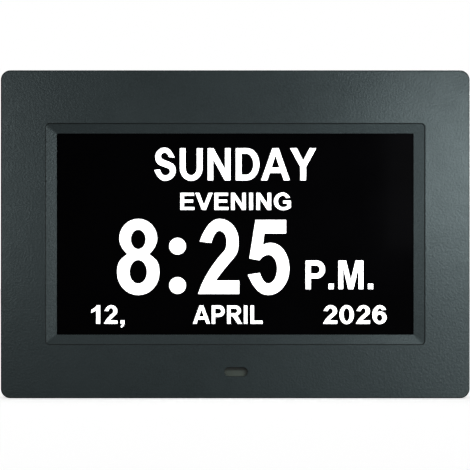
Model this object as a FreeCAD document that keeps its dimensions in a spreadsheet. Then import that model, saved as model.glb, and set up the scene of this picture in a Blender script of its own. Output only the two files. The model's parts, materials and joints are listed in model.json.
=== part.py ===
import FreeCAD, Part
import math
import os

import Sketcher

# A day clock that stands upright on its bottom edge. X runs to the right as seen by a reader, Y runs from the
# reader to the rear and Z runs up. The origin is the middle of the bottom face, halfway through the depth.
# Lengths are in millimetres and angles in degrees.
SIZES = {
    # case: a front moulding and a rear cover that meet at the parting plane
    "case_width": 232.4,
    "case_height": 162.6,
    "case_depth": 24.0,
    "corner_radius": 4.8,
    "front_edge": 0.7,
    "rear_edge": 3.0,
    "wall": 2.2,
    "front_skin": 2.4,
    "rear_skin": 2.2,
    "bezel_depth": 11.0,
    "seam_lip_height": 1.5,
    "seam_lip_wall": 1.0,
    "seam_lip_root": 1.2,
    "least_corner": 0.5,
    "seam_gap": 0.15,
    "fit_gap": 0.3,
    # sunk frame and sloping flanks round the screen
    "screen_width": 177.0,
    "screen_height": 99.8,
    "screen_middle": 81.4,
    "screen_corner": 0.4,
    "flank_side": 5.8,
    "flank_rise": 5.2,
    "flank_corner": 2.2,
    "flank_step": 0.5,
    "step_run": 0.5,
    "flank_depth": 2.6,
    "lip_depth": 3.0,
    # case screws and their bosses
    "boss_inset_side": 10.7,
    "boss_inset_end": 14.0,
    "boss_radius": 3.5,
    "post_radius": 4.6,
    "counterbore_radius": 3.2,
    "case_seat_depth": 5.5,
    "case_thread_radius": 1.4,
    "case_clearance": 0.2,
    "case_head_radius": 2.8,
    "case_head_height": 2.0,
    "case_screw_length": 12.0,
    "screw_gap": 0.05,
    "pilot_spare": 1.0,
    # display stack, front to back
    "gasket_thick": 0.5,
    "gasket_width": 5.0,
    "gasket_reveal": 2.0,
    "polariser_thick": 0.2,
    "polariser_margin": 1.5,
    "cell_thick": 1.3,
    "cell_margin": 3.5,
    "film_thick": 0.5,
    "guide_thick": 2.4,
    "reflector_thick": 0.2,
    "frame_rail": 3.7,
    "tray_thick": 0.5,
    "tray_flange": 0.4,
    "tray_gap": 0.05,
    "tray_flange_depth": 3.5,
    "led_board_thick": 0.8,
    "led_height": 1.2,
    "led_length": 3.0,
    "led_pitch": 12.6,
    # brackets that hold the display in the front moulding
    "bracket_rise": 36.0,
    "bracket_overlap": 6.0,
    "bracket_height": 9.0,
    "bracket_thick": 0.8,
    "bracket_boss_radius": 3.0,
    "small_thread_radius": 1.0,
    "small_head_radius": 1.9,
    "small_head_height": 1.4,
    "small_screw_length": 5.0,
    # receiver window and receiver
    "window_offset": 0.4,
    "window_above_chin_middle": 1.325,
    "window_length": 11.8,
    "window_tall": 4.7,
    "window_recess": 1.8,
    "window_gap": 0.15,
    "window_flange": 1.6,
    "window_flange_thick": 1.0,
    "receiver_board_width": 26.0,
    "receiver_board_height": 11.0,
    "receiver_board_thick": 1.2,
    "receiver_standoff": 6.6,
    "receiver_post_span": 20.0,
    "receiver_post_radius": 2.4,
    "receiver_body_width": 7.0,
    "receiver_body_height": 6.0,
    "receiver_body_depth": 3.4,
    "receiver_dome_radius": 2.0,
    # main board
    "board_width": 100.0,
    "board_height": 40.0,
    "board_top_gap": 10.6,
    "board_thick": 1.6,
    "board_front": 0.5,
    "board_hole_inset": 4.0,
    "board_post_radius": 3.0,
    "board_screw_length": 6.0,
    "processor_side": 14.0,
    "processor_thick": 1.2,
    "processor_offset": -7.0,
    "processor_rise": 10.0,
    "memory_length": 8.0,
    "memory_width": 5.2,
    "memory_thick": 1.1,
    "memory_offset": -30.0,
    "memory_rise": 8.6,
    "memory_pitch": 7.5,
    "inductor_side": 5.0,
    "inductor_height": 2.6,
    "inductor_offset": 8.0,
    "inductor_rise": 5.5,
    "capacitor_radius": 2.5,
    "capacitor_height": 5.0,
    "capacitor_offset": -20.0,
    "capacitor_rise": 21.0,
    "crystal_length": 5.0,
    "crystal_width": 3.2,
    "crystal_height": 0.9,
    "crystal_offset": 6.0,
    "crystal_rise": 14.5,
    "connector_length": 7.0,
    "connector_depth": 5.0,
    "connector_rise": 14.0,
    "receiver_plug_offset": 14.0,
    "lead_plane": 3.8,
    "front_lead_plane": -0.6,
    "flex_width": 20.0,
    "flex_thick": 0.2,
    "flex_land": 12.0,
    "flex_bend": 3.0,
    "flex_straight": 16.0,
    "flex_plug_rise": 12.0,
    "flex_plug_height": 5.0,
    "flex_plug_margin": 1.5,
    "flex_plug_half_depth": 0.7,
    "cell_holder_radius": 11.5,
    "cell_holder_height": 4.6,
    "cell_holder_floor": 0.8,
    "coin_radius": 10.0,
    "coin_thick": 3.2,
    "coin_gap": 0.3,
    "coin_offset": 30.0,
    "coin_rise": 13.2,
    # six keys that are pressed from behind
    "key_pitch": 15.0,
    "key_drop": 9.0,
    "key_length": 9.0,
    "key_tall": 5.0,
    "key_gap": 0.3,
    "key_dish_depth": 1.0,
    "key_dish_margin": 6.0,
    "key_flange": 1.0,
    "key_flange_thick": 1.1,
    "key_travel": 0.4,
    "key_pip_radius": 1.5,
    "key_pip_length": 1.6,
    "key_edge": 0.4,
    "switch_side": 6.0,
    "switch_height": 3.5,
    "plunger_radius": 1.65,
    "plunger_gap": 0.1,
    "plunger_sunk": 2.1,
    # kickstand in its recess
    "recess_board_gap": 1.0,
    "hinge_pin_radius": 1.5,
    "hinge_pin_half": 32.0,
    "hinge_running_gap": 0.05,
    "hinge_seat_gap": 0.02,
    "leg_thick": 5.0,
    "leg_sunk": 0.2,
    "leg_top_half": 28.0,
    "leg_foot_half": 22.0,
    "leg_end": 5.2,
    "leg_skin": 2.0,
    "leg_rim": 2.4,
    "leg_side_gap": 0.8,
    "leg_corner": 5.0,
    "leg_solid_end": 8.0,
    "leg_solid_top": 6.0,
    "leg_rib_half": 1.0,
    "leg_stop_angle": 35.0,
    "leg_heel_setback": 0.6,
    "leg_heel_half": 20.0,
    "stop_gap": 0.1,
    "recess_floor_gap": 0.3,
    "recess_low": 3.6,
    "recess_above_hinge": 5.0,
    "recess_wall": 2.0,
    "ear_width": 4.7,
    "ear_half_height": 6.0,
    "washer_radius": 2.4,
    "washer_thick": 0.5,
    "washer_gap": 0.05,
    "foot_half": 15.0,
    "foot_seat": 2.8,
    "foot_proud": 0.8,
    "foot_setback": 0.4,
    "notch_reach": 15.0,
    "notch_height": 17.0,
    "notch_low": 13.0,
    "notch_corner": 5.0,
    "notch_depth": 5.0,
    # keyholes for a wall
    "keyhole_span": 150.0,
    "keyhole_height": 118.0,
    "keyhole_radius": 4.2,
    "keyhole_slot": 2.1,
    "keyhole_rise": 10.0,
    "keyhole_pocket_depth": 6.0,
    "keyhole_pocket_margin": 1.3,
    "keyhole_wall": 1.6,
    # vents and speaker
    "vent_count": 8.0,
    "vent_inset": 18.2,
    "vent_pitch": 6.0,
    "vent_width": 2.2,
    "vent_top_gap": 10.6,
    "vent_tall": 14.0,
    "speaker_offset": -66.0,
    "speaker_height": 52.0,
    "speaker_radius": 14.0,
    "speaker_gasket_thick": 0.5,
    "speaker_rim_width": 2.0,
    "speaker_rim_thick": 0.8,
    "speaker_cup_radius": 8.5,
    "speaker_cup_depth": 3.5,
    "speaker_cup_rim": 13.0,
    "speaker_shell": 0.8,
    "magnet_radius": 8.0,
    "magnet_thick": 2.0,
    "cone_thick": 0.3,
    "cone_neck": 4.0,
    "cone_depth": 2.4,
    "grille_hole": 1.1,
    "grille_pitch": 4.2,
    "speaker_post_reach": 17.2,
    "speaker_post_radius": 2.6,
    "speaker_washer_radius": 4.0,
    "speaker_washer_thick": 0.5,
    "speaker_screw_length": 3.4,
    "terminal_width": 6.0,
    "terminal_low": 11.5,
    "terminal_high": 15.0,
    "terminal_half_depth": 0.9,
    "surround_thick": 0.3,
    "surround_inner": 11.5,
    "surround_outer": 13.1,
    "gasket_inner": 13.2,
    # power inlet
    "power_side_gap": 1.6,
    "power_height": 32.0,
    "power_board_width": 28.4,
    "power_board_tall": 25.0,
    "power_board_thick": 1.2,
    "power_front": 0.3,
    "jack_gap": 0.1,
    "jack_length": 11.2,
    "jack_side": 7.0,
    "jack_nose_radius": 2.6,
    "jack_nose": 1.2,
    "jack_bore": 1.8,
    "jack_bore_depth": 9.0,
    "jack_pin_radius": 0.65,
    "jack_pin_sunk": 0.8,
    "power_inductor_offset": 13.0,
    "power_part_rise": 7.0,
    "power_capacitor_offset": 12.0,
    "lead_radius": 0.7,
    "power_lead_run": 18.0,
    "receiver_lead_low": 15.0,
    "receiver_lead_high": 43.0,
}

VECTOR = FreeCAD.Vector
DOCUMENT = FreeCAD.newDocument("DayClock")
SHEET = DOCUMENT.addObject("Spreadsheet::Sheet", "Sizes")
PARTS = []


class Term:
    """A length or an angle: the text of an expression on the sheet, and its present value."""

    def __init__(self, text, value):
        self.text = text
        self.value = value

    def __add__(self, other):
        return combine(self, "+", other, self.value + term(other).value)

    def __sub__(self, other):
        return combine(self, "-", other, self.value - term(other).value)

    def __mul__(self, other):
        return combine(self, "*", other, self.value * term(other).value)

    def __truediv__(self, other):
        return combine(self, "/", other, self.value / term(other).value)

    def __radd__(self, other):
        return term(other) + self

    def __rsub__(self, other):
        return term(other) - self

    def __rmul__(self, other):
        return term(other) * self

    def __neg__(self):
        return term(0) - self


def term(thing):
    """A plain number as a term."""
    if isinstance(thing, Term):
        return thing
    return Term(f"({float(thing)!r})", float(thing))


def combine(first, sign, second, value):
    return Term(f"({term(first).text} {sign} {term(second).text})", value)


def sine(angle):
    return Term(f"sin({angle.text})", math.sin(math.radians(angle.value)))


def cosine(angle):
    return Term(f"cos({angle.text})", math.cos(math.radians(angle.value)))


def larger(first, second):
    return Term(f"max({term(first).text}; {term(second).text})", max(term(first).value, term(second).value))


class SizeNames:
    """Gives each cell of the sheet as a term, by its alias."""

    def __getattr__(self, alias):
        return Term(f"Sizes.{alias}", float(SHEET.get(alias)))


def fill_sheet():
    for row, (alias, value) in enumerate(SIZES.items(), start=1):
        SHEET.set(f"A{row}", alias)
        SHEET.set(f"B{row}", str(value))
        SHEET.setAlias(f"B{row}", alias)
    DOCUMENT.recompute()


def bind(thing, name, value):
    thing.setExpression(name, term(value).text)


def part(label, thing):
    """Name a finished sub-part, which is written to a file of that name."""
    thing.Label = label
    PARTS.append(thing)
    return thing


# ---------------------------------------------------------------- sketches and features of a body

def new_body(name):
    return DOCUMENT.addObject("PartDesign::Body", name + "_body")


def sketch(body, plane, offset):
    """A sketch on an origin plane of its body, moved along the third axis."""
    drawing = body.newObject("Sketcher::SketchObject", "Outline")
    origin_plane = next(o for o in body.Origin.OriginFeatures if o.Role == plane + "_Plane")
    drawing.AttachmentSupport = (origin_plane, [""])
    drawing.MapMode = "FlatFace"
    along_normal = -term(offset) if plane == "XZ" else offset
    bind(drawing, "AttachmentOffset.Base.z", along_normal)
    return drawing


def hold(drawing, kind, first, point, axis_value):
    """Fix a point of a sketch at a distance from its origin."""
    number = drawing.addConstraint(Sketcher.Constraint(kind, -1, 1, first, point, term(axis_value).value))
    drawing.setExpression(f"Constraints[{number}]", term(axis_value).text)


def polygon(drawing, corners):
    """A closed outline through corners, given anticlockwise."""
    first = drawing.GeometryCount
    count = len(corners)
    points = [VECTOR(term(across).value, term(up).value, 0) for across, up in corners]
    lines = [Part.LineSegment(points[i], points[(i + 1) % count]) for i in range(count)]
    drawing.addGeometry(lines, False)
    for i in range(count):
        follower = first + (i + 1) % count
        drawing.addConstraint(Sketcher.Constraint("Coincident", first + i, 2, follower, 1))
    for i, (across, up) in enumerate(corners):
        hold(drawing, "DistanceX", first + i, 1, across)
        hold(drawing, "DistanceY", first + i, 1, up)


def rectangle(drawing, left, right, low, high):
    polygon(drawing, [(left, low), (right, low), (right, high), (left, high)])


def circle(drawing, across, up, radius):
    centre = VECTOR(term(across).value, term(up).value, 0)
    number = drawing.addGeometry(Part.Circle(centre, VECTOR(0, 0, 1), term(radius).value), False)
    rule = drawing.addConstraint(Sketcher.Constraint("Radius", number, term(radius).value))
    drawing.setExpression(f"Constraints[{rule}]", term(radius).text)
    hold(drawing, "DistanceX", number, 3, across)
    hold(drawing, "DistanceY", number, 3, up)


def rounded(drawing, left, right, low, high, radius):
    """A rectangle with round corners."""
    first = drawing.GeometryCount
    west, east = term(left).value, term(right).value
    south, north = term(low).value, term(high).value
    bend = term(radius).value
    normal = VECTOR(0, 0, 1)
    corners = [(east - bend, south + bend), (east - bend, north - bend),
               (west + bend, north - bend), (west + bend, south + bend)]
    sides = [((west + bend, south), (east - bend, south)), ((east, south + bend), (east, north - bend)),
             ((east - bend, north), (west + bend, north)), ((west, north - bend), (west, south + bend))]
    for i in range(4):
        start, end = sides[i]
        turn = (i - 1) * math.pi / 2
        arc = Part.ArcOfCircle(Part.Circle(VECTOR(*corners[i], 0), normal, bend), turn, turn + math.pi / 2)
        drawing.addGeometry([Part.LineSegment(VECTOR(*start, 0), VECTOR(*end, 0)), arc], False)
    for i in range(8):
        drawing.addConstraint(Sketcher.Constraint("Tangent", first + i, 2, first + (i + 1) % 8, 1))
    for i, way in enumerate(("Horizontal", "Vertical", "Horizontal", "Vertical")):
        drawing.addConstraint(Sketcher.Constraint(way, first + 2 * i))
    for i in (3, 5, 7):
        drawing.addConstraint(Sketcher.Constraint("Equal", first + 1, first + i))
    rule = drawing.addConstraint(Sketcher.Constraint("Radius", first + 1, bend))
    drawing.setExpression(f"Constraints[{rule}]", term(radius).text)
    hold(drawing, "DistanceY", first, 1, low)
    hold(drawing, "DistanceX", first + 2, 1, right)
    hold(drawing, "DistanceY", first + 4, 1, high)
    hold(drawing, "DistanceX", first + 6, 1, left)


def oblong(drawing, across, up, length, tall):
    """A slot with round ends that lies along the sketch's first axis."""
    reach = term(length) / 2 - term(tall) / 2
    first = drawing.GeometryCount
    left, right = (across - reach).value, (across + reach).value
    middle = term(up).value
    bend = (term(tall) / 2).value
    normal = VECTOR(0, 0, 1)
    right_circle = Part.Circle(VECTOR(right, middle, 0), normal, bend)
    right_end = Part.ArcOfCircle(right_circle, -math.pi / 2, math.pi / 2)
    left_circle = Part.Circle(VECTOR(left, middle, 0), normal, bend)
    left_end = Part.ArcOfCircle(left_circle, math.pi / 2, 1.5 * math.pi)
    bottom = Part.LineSegment(VECTOR(left, middle - bend, 0), VECTOR(right, middle - bend, 0))
    top = Part.LineSegment(VECTOR(right, middle + bend, 0), VECTOR(left, middle + bend, 0))
    drawing.addGeometry([bottom, right_end, top, left_end], False)
    for i in range(4):
        drawing.addConstraint(Sketcher.Constraint("Tangent", first + i, 2, first + (i + 1) % 4, 1))
    drawing.addConstraint(Sketcher.Constraint("Equal", first + 1, first + 3))
    rule = drawing.addConstraint(Sketcher.Constraint("Radius", first + 1, bend))
    drawing.setExpression(f"Constraints[{rule}]", (term(tall) / 2).text)
    hold(drawing, "DistanceX", first + 1, 3, across + reach)
    hold(drawing, "DistanceY", first + 1, 3, up)
    hold(drawing, "DistanceX", first + 3, 3, across - reach)
    hold(drawing, "DistanceY", first + 3, 3, up)


def on_plane(drawing, plane):
    return plane in drawing.AttachmentSupport[0][0].Role


def pad(body, drawing, length):
    """Add material from the sketch towards the positive side of its axis."""
    feature = body.newObject("PartDesign::Pad", "Pad")
    feature.Profile = drawing
    feature.Reversed = on_plane(drawing, "XZ")
    bind(feature, "Length", length)
    DOCUMENT.recompute()
    return feature


def pocket(body, drawing, length):
    """Remove material from the sketch towards the positive side of its axis."""
    feature = body.newObject("PartDesign::Pocket", "Pocket")
    feature.Profile = drawing
    feature.Reversed = not on_plane(drawing, "XZ")
    bind(feature, "Length", length)
    DOCUMENT.recompute()
    return feature


def soften(body, feature, radius, chosen):
    """Round the edges of a feature that a test picks."""
    names = [f"Edge{number}" for number, edge in enumerate(feature.Shape.Edges, start=1) if chosen(edge)]
    fillet = body.newObject("PartDesign::Fillet", "Fillet")
    fillet.Base = (feature, names)
    bind(fillet, "Radius", radius)
    DOCUMENT.recompute()
    return fillet


def at_level(axis, level):
    """A test for edges that lie at one coordinate."""
    near = 1e-4
    return lambda edge: all(abs(getattr(v.Point, axis) - term(level).value) < near for v in edge.Vertexes)


# ---------------------------------------------------------------- plain solids and booleans

def box(name, across, deep, tall):
    """A block between low and high values along X, Y and Z."""
    block = DOCUMENT.addObject("Part::Box", name)
    sides = (("Length", "x", across), ("Width", "y", deep), ("Height", "z", tall))
    for length, axis, (low, high) in sides:
        bind(block, length, term(high) - low)
        bind(block, f"Placement.Base.{axis}", low)
    return block


ROUND_AXES = {
    "X": (FreeCAD.Rotation(VECTOR(0, 1, 0), 90), "xyz"),
    "Y": (FreeCAD.Rotation(VECTOR(1, 0, 0), -90), "yxz"),
    "Z": (FreeCAD.Rotation(), "zxy"),
}


def stand_along(solid, axis, centre, start):
    turn, order = ROUND_AXES[axis]
    solid.Placement = FreeCAD.Placement(VECTOR(), turn)
    for letter, value in zip(order, (start, *centre)):
        bind(solid, f"Placement.Base.{letter}", value)


def rod(name, axis, centre, radius, start, end):
    """A cylinder along an axis. The centre gives its other two coordinates in the order X, Y, Z."""
    solid = DOCUMENT.addObject("Part::Cylinder", name)
    bind(solid, "Radius", radius)
    bind(solid, "Height", term(end) - start)
    stand_along(solid, axis, centre, start)
    return solid


def taper(name, axis, centre, start_radius, end_radius, start, end):
    """A cone along an axis, from its start radius to its end radius."""
    solid = DOCUMENT.addObject("Part::Cone", name)
    bind(solid, "Radius1", start_radius)
    bind(solid, "Radius2", end_radius)
    bind(solid, "Height", term(end) - start)
    stand_along(solid, axis, centre, start)
    return solid


def fuse(name, solids):
    joined = DOCUMENT.addObject("Part::MultiFuse", name)
    joined.Shapes = solids
    return joined


def cut(name, base, tools):
    """Take one or more tools out of a base."""
    remainder = DOCUMENT.addObject("Part::Cut", name)
    remainder.Base = base
    remainder.Tool = tools[0] if len(tools) == 1 else fuse(name + "_tools", tools)
    return remainder


def group(name, solids):
    """Separate solids that share one sub-part."""
    together = DOCUMENT.addObject("Part::Compound", name)
    together.Links = solids
    return together


def copies(name, pattern, places, turn=None):
    """Copies of one solid, each moved to a place."""
    links = []
    for number, place in enumerate(places, start=1):
        link = DOCUMENT.addObject("App::Link", f"{name}_{number}")
        link.LinkedObject = pattern
        link.Placement = FreeCAD.Placement(VECTOR(), turn or FreeCAD.Rotation())
        for axis, value in zip("xyz", place):
            bind(link, f"Placement.Base.{axis}", value)
        links.append(link)
    return group(name, links)


def screw(name, head_radius, head_height, thread_radius, length):
    """A pan head screw at the origin: the head rises along +Y from its seat, the thread runs along -Y."""
    centre = (0, 0)
    slot_half = thread_radius * 0.22
    slot_reach = head_radius * 0.6
    slot_floor = head_height * 0.45
    head = taper(name + "_head", "Y", centre, head_radius, head_radius * 0.8, 0, head_height)
    thread = rod(name + "_thread", "Y", centre, thread_radius, -length, 0)
    deep = (slot_floor, head_height)
    level = box(name + "_level", (-slot_reach, slot_reach), deep, (-slot_half, slot_half))
    upright = box(name + "_upright", (-slot_half, slot_half), deep, (-slot_reach, slot_reach))
    return cut(name, fuse(name + "_blank", [head, thread]), [level, upright])


def tube_path(route):
    """Straight runs joined by tangent arcs as large as the shorter neighbour of each corner allows."""
    share = 0.45
    points = [VECTOR(*(term(value).value for value in place)) for place in route]
    edges = []
    start = points[0]
    for before, corner, after in zip(points, points[1:], points[2:]):
        back = (before - corner).normalize()
        onward = (after - corner).normalize()
        shorter = min(before.distanceToPoint(corner), after.distanceToPoint(corner))
        trim = share * shorter
        half_turn = (math.pi - back.getAngle(onward)) / 2
        radius = trim / math.tan(half_turn)
        middle_way = (back + onward).normalize()
        centre = corner + middle_way * (radius / math.cos(half_turn))
        entry, leaving = corner + back * trim, corner + onward * trim
        edges.append(Part.LineSegment(start, entry).toShape())
        edges.append(Part.Arc(entry, centre - middle_way * radius, leaving).toShape())
        start = leaving
    edges.append(Part.LineSegment(start, points[-1]).toShape())
    return Part.Wire(edges)


def lead(label, route):
    """A round lead along a route, from one connector to another."""
    path = tube_path(route)
    start = path.Edges[0].Vertexes[0].Point
    direction = path.Edges[0].tangentAt(0)
    section = Part.Wire(Part.makeCircle(s.lead_radius.value, start, direction))
    solid = DOCUMENT.addObject("Part::Feature", label + "_solid")
    solid.Shape = path.makePipeShell([section], True, True)
    expected = math.pi * s.lead_radius.value ** 2 * path.Length
    print(f"{label}: length {path.Length:.1f}, volume over expected {solid.Shape.Volume / expected:.4f}")
    return part(label, solid)


s = SizeNames()
fill_sheet()

# ---------------------------------------------------------------- planes and places that pieces share

FRONT = -s.case_depth / 2
REAR = s.case_depth / 2
SIDE = s.case_width / 2
PARTING = FRONT + s.bezel_depth
FACE_BACK = FRONT + s.front_skin
REAR_INNER = REAR - s.rear_skin

SCREEN_SIDE = s.screen_width / 2
SCREEN_LOW = s.screen_middle - s.screen_height / 2
SCREEN_HIGH = s.screen_middle + s.screen_height / 2
FLANK_SIDE = SCREEN_SIDE + s.flank_side

LIP_BACK = FRONT + s.lip_depth
CELL_FRONT = LIP_BACK + s.gasket_thick
CELL_BACK = CELL_FRONT + s.cell_thick
FILM_BACK = CELL_BACK + s.film_thick
GUIDE_BACK = FILM_BACK + s.guide_thick
REFLECTOR_BACK = GUIDE_BACK + s.reflector_thick
TRAY_BACK = REFLECTOR_BACK + s.tray_thick

BOSS_SIDE = SIDE - s.boss_inset_side
BOSS_LEVELS = (s.boss_inset_end, s.case_height / 2, s.case_height - s.boss_inset_end)
BOSS_PLACES = [(across, up) for across in (-BOSS_SIDE, BOSS_SIDE) for up in BOSS_LEVELS]
CASE_SEAT = PARTING + s.case_seat_depth

BOARD_BACK = s.board_front + s.board_thick
BOARD_HIGH = s.case_height - s.board_top_gap
BOARD_LOW = BOARD_HIGH - s.board_height
BOARD_SIDE = s.board_width / 2
BOARD_HOLES = [(across, up) for across in (s.board_hole_inset - BOARD_SIDE, BOARD_SIDE - s.board_hole_inset)
               for up in (BOARD_LOW + s.board_hole_inset, BOARD_HIGH - s.board_hole_inset)]

HINGE_Y = REAR - s.leg_sunk - s.leg_thick / 2
RECESS_FLOOR = HINGE_Y - s.leg_thick / 2 - s.recess_floor_gap
PAN_FRONT = RECESS_FLOOR - s.recess_wall
RECESS_HIGH = BOARD_LOW - s.recess_board_gap - s.recess_wall
HINGE_LEVEL = RECESS_HIGH - s.recess_above_hinge

SPEAKER_RIM_BACK = REAR_INNER - s.speaker_gasket_thick
SPEAKER_RIM_FRONT = SPEAKER_RIM_BACK - s.speaker_rim_thick
SPEAKER_SEAT = SPEAKER_RIM_FRONT - s.speaker_washer_thick
SPEAKER_POSTS = [(s.speaker_offset - s.speaker_post_reach, s.speaker_height),
                 (s.speaker_offset + s.speaker_post_reach, s.speaker_height)]

FLEX_PLUG = BOARD_LOW + s.flex_plug_rise
FLEX_LAND_TOP = FLEX_PLUG - s.flex_straight - s.flex_bend * 2
FLEX_LOW = FLEX_LAND_TOP - s.flex_land

KEY_LEVEL = BOARD_HIGH - s.key_drop
KEY_COUNT = 6
KEY_PLACES = [s.key_pitch * (number - (KEY_COUNT - 1) / 2) for number in range(KEY_COUNT)]
SWITCH_BACK = BOARD_BACK + s.switch_height

POWER_BACK = s.power_front + s.power_board_thick
SIDE_INNER = SIDE - s.wall
POWER_RIGHT = SIDE_INNER - s.power_side_gap
POWER_LEFT = POWER_RIGHT - s.power_board_width
POWER_LOW = s.power_height - s.power_board_tall / 2
POWER_HIGH = s.power_height + s.power_board_tall / 2
JACK_Y = POWER_BACK + s.jack_side / 2
POWER_HOLES = [(POWER_LEFT + s.board_hole_inset, POWER_LOW + s.board_hole_inset),
               (POWER_LEFT + s.board_hole_inset, POWER_HIGH - s.board_hole_inset)]


def screen_outline(margin):
    """The screen opening, wider by a margin on each side: left, right, low, high."""
    return (-SCREEN_SIDE - margin, SCREEN_SIDE + margin, SCREEN_LOW - margin, SCREEN_HIGH + margin)


def flank_outline(inset):
    """The outer edge of the flanks, drawn in by an inset on each side: left, right, low, high."""
    return (inset - FLANK_SIDE, FLANK_SIDE - inset,
            SCREEN_LOW - s.flank_rise + inset, SCREEN_HIGH + s.flank_rise - inset)


CELL_EDGE = screen_outline(s.cell_margin)
FRAME_ROOM = screen_outline(s.cell_margin + s.fit_gap)
FRAME_EDGE = screen_outline(s.cell_margin + s.fit_gap + s.frame_rail)
TRAY_ROOM = screen_outline(s.cell_margin + s.fit_gap + s.frame_rail + s.tray_gap)
TRAY_EDGE = screen_outline(s.cell_margin + s.fit_gap + s.frame_rail + s.tray_gap + s.tray_flange)
BRACKET_X = TRAY_EDGE[1] + s.bracket_boss_radius + 2 * s.fit_gap
BRACKET_PLACES = [(across, up) for across in (-BRACKET_X, BRACKET_X)
                  for up in (s.screen_middle - s.bracket_rise, s.screen_middle + s.bracket_rise)]

RECEIVER_FRONT = FACE_BACK + s.receiver_standoff
RECEIVER_BACK = RECEIVER_FRONT + s.receiver_board_thick
RECEIVER_LEVEL = TRAY_EDGE[2] / 2 + s.window_above_chin_middle
RECEIVER_HOLES = [(s.window_offset - s.receiver_post_span / 2, RECEIVER_LEVEL),
                  (s.window_offset + s.receiver_post_span / 2, RECEIVER_LEVEL)]


# ---------------------------------------------------------------- front moulding

def round_holes(body, places, radius, start, end):
    """Round pockets along Y at several places, cut as one feature."""
    drawing = sketch(body, "XZ", start)
    for across, up in places:
        circle(drawing, across, up, radius)
    return pocket(body, drawing, end - start)


def round_posts(body, places, radius, start, end):
    """Round posts along Y at several places, added as one feature."""
    drawing = sketch(body, "XZ", start)
    for across, up in places:
        circle(drawing, across, up, radius)
    return pad(body, drawing, end - start)


def case_outline(drawing, inset):
    corner = larger(s.corner_radius - inset, s.least_corner)
    rounded(drawing, inset - SIDE, SIDE - inset, inset, s.case_height - inset, corner)


def make_front_bezel():
    body = new_body("front_bezel")
    outer = sketch(body, "XZ", FRONT)
    case_outline(outer, term(0))
    block = pad(body, outer, s.bezel_depth)
    soften(body, block, s.front_edge, at_level("y", FRONT))
    inside = sketch(body, "XZ", FACE_BACK)
    case_outline(inside, s.wall)
    pocket(body, inside, PARTING - FACE_BACK)
    collar = sketch(body, "XZ", FACE_BACK)
    rectangle(collar, *TRAY_EDGE)
    pad(body, collar, LIP_BACK - FACE_BACK)
    step_edge = sketch(body, "XZ", FRONT)
    rounded(step_edge, *flank_outline(term(0)), s.flank_corner)
    step_foot = sketch(body, "XZ", FRONT + s.flank_step)
    rounded(step_foot, *flank_outline(s.step_run), larger(s.flank_corner - s.step_run, s.least_corner))
    slope_end = sketch(body, "XZ", FRONT + s.flank_depth)
    rounded(slope_end, *screen_outline(term(0)), s.screen_corner)
    slope = body.newObject("PartDesign::SubtractiveLoft", "Slope")
    slope.Profile = step_edge
    slope.Sections = [step_foot, slope_end]
    slope.Ruled = True
    opening = sketch(body, "XZ", FRONT)
    rounded(opening, *screen_outline(term(0)), s.screen_corner)
    pocket(body, opening, s.lip_depth)
    window = sketch(body, "XZ", FRONT)
    oblong(window, s.window_offset, RECEIVER_LEVEL, s.window_length, s.window_tall)
    pocket(body, window, s.front_skin)
    round_posts(body, BOSS_PLACES, s.boss_radius, FACE_BACK, PARTING)
    thread_end = CASE_SEAT - s.case_screw_length - s.pilot_spare
    round_holes(body, BOSS_PLACES, s.case_thread_radius + s.screw_gap, thread_end, PARTING)
    round_posts(body, BRACKET_PLACES, s.bracket_boss_radius, FACE_BACK, TRAY_BACK)
    small_hole = s.small_thread_radius + s.screw_gap
    small_end = TRAY_BACK + s.bracket_thick - s.small_screw_length - s.screw_gap
    round_holes(body, BRACKET_PLACES, small_hole, small_end, TRAY_BACK)
    round_posts(body, RECEIVER_HOLES, s.receiver_post_radius, FACE_BACK, RECEIVER_FRONT)
    receiver_end = RECEIVER_BACK - s.small_screw_length - s.screw_gap
    round_holes(body, RECEIVER_HOLES, small_hole, receiver_end, RECEIVER_FRONT)
    return part("front_bezel", body)


def make_ir_window():
    body = new_body("ir_window")
    flange = sketch(body, "XZ", FACE_BACK)
    wide = s.window_flange * 2
    oblong(flange, s.window_offset, RECEIVER_LEVEL, s.window_length + wide, s.window_tall + wide)
    pad(body, flange, s.window_flange_thick)
    lens = sketch(body, "XZ", FRONT + s.window_recess)
    slim = s.window_gap * 2
    oblong(lens, s.window_offset, RECEIVER_LEVEL, s.window_length - slim, s.window_tall - slim)
    pad(body, lens, s.front_skin - s.window_recess)
    return part("ir_window", body)


# ---------------------------------------------------------------- display stack

def plate(label, edge, front, back):
    """A flat rectangular layer of the display: its edge is left, right, low and high."""
    left, right, low, high = edge
    return part(label, box(label + "_plate", (left, right), (front, back), (low, high)))


def ring(name, outer, inner, front, back):
    """A rectangular frame between two outlines."""
    body = new_body(name)
    drawing = sketch(body, "XZ", front)
    rectangle(drawing, *outer)
    rectangle(drawing, *inner)
    pad(body, drawing, back - front)
    return body


def make_display():
    reveal = s.gasket_reveal
    outer, inner = screen_outline(reveal + s.gasket_width), screen_outline(reveal)
    part("display_gasket", ring("display_gasket", outer, inner, LIP_BACK, CELL_FRONT))
    plate("front_polariser", screen_outline(s.polariser_margin), CELL_FRONT - s.polariser_thick, CELL_FRONT)
    plate("lcd_cell", CELL_EDGE, CELL_FRONT, CELL_BACK)
    plate("diffuser_film", CELL_EDGE, CELL_BACK, FILM_BACK)
    left, right, low, high = CELL_EDGE
    led_top = low + s.led_board_thick + s.led_height
    plate("light_guide", (left, right, led_top, high), FILM_BACK, GUIDE_BACK)
    plate("reflector_film", CELL_EDGE, GUIDE_BACK, REFLECTOR_BACK)
    part("panel_frame", ring("panel_frame", FRAME_EDGE, FRAME_ROOM, CELL_FRONT, REFLECTOR_BACK))
    plate("led_bar", (left, right, low, low + s.led_board_thick), FILM_BACK, GUIDE_BACK)
    make_led_chips(low + s.led_board_thick, led_top)
    make_rear_tray()
    make_brackets()
    make_display_flex()


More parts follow.
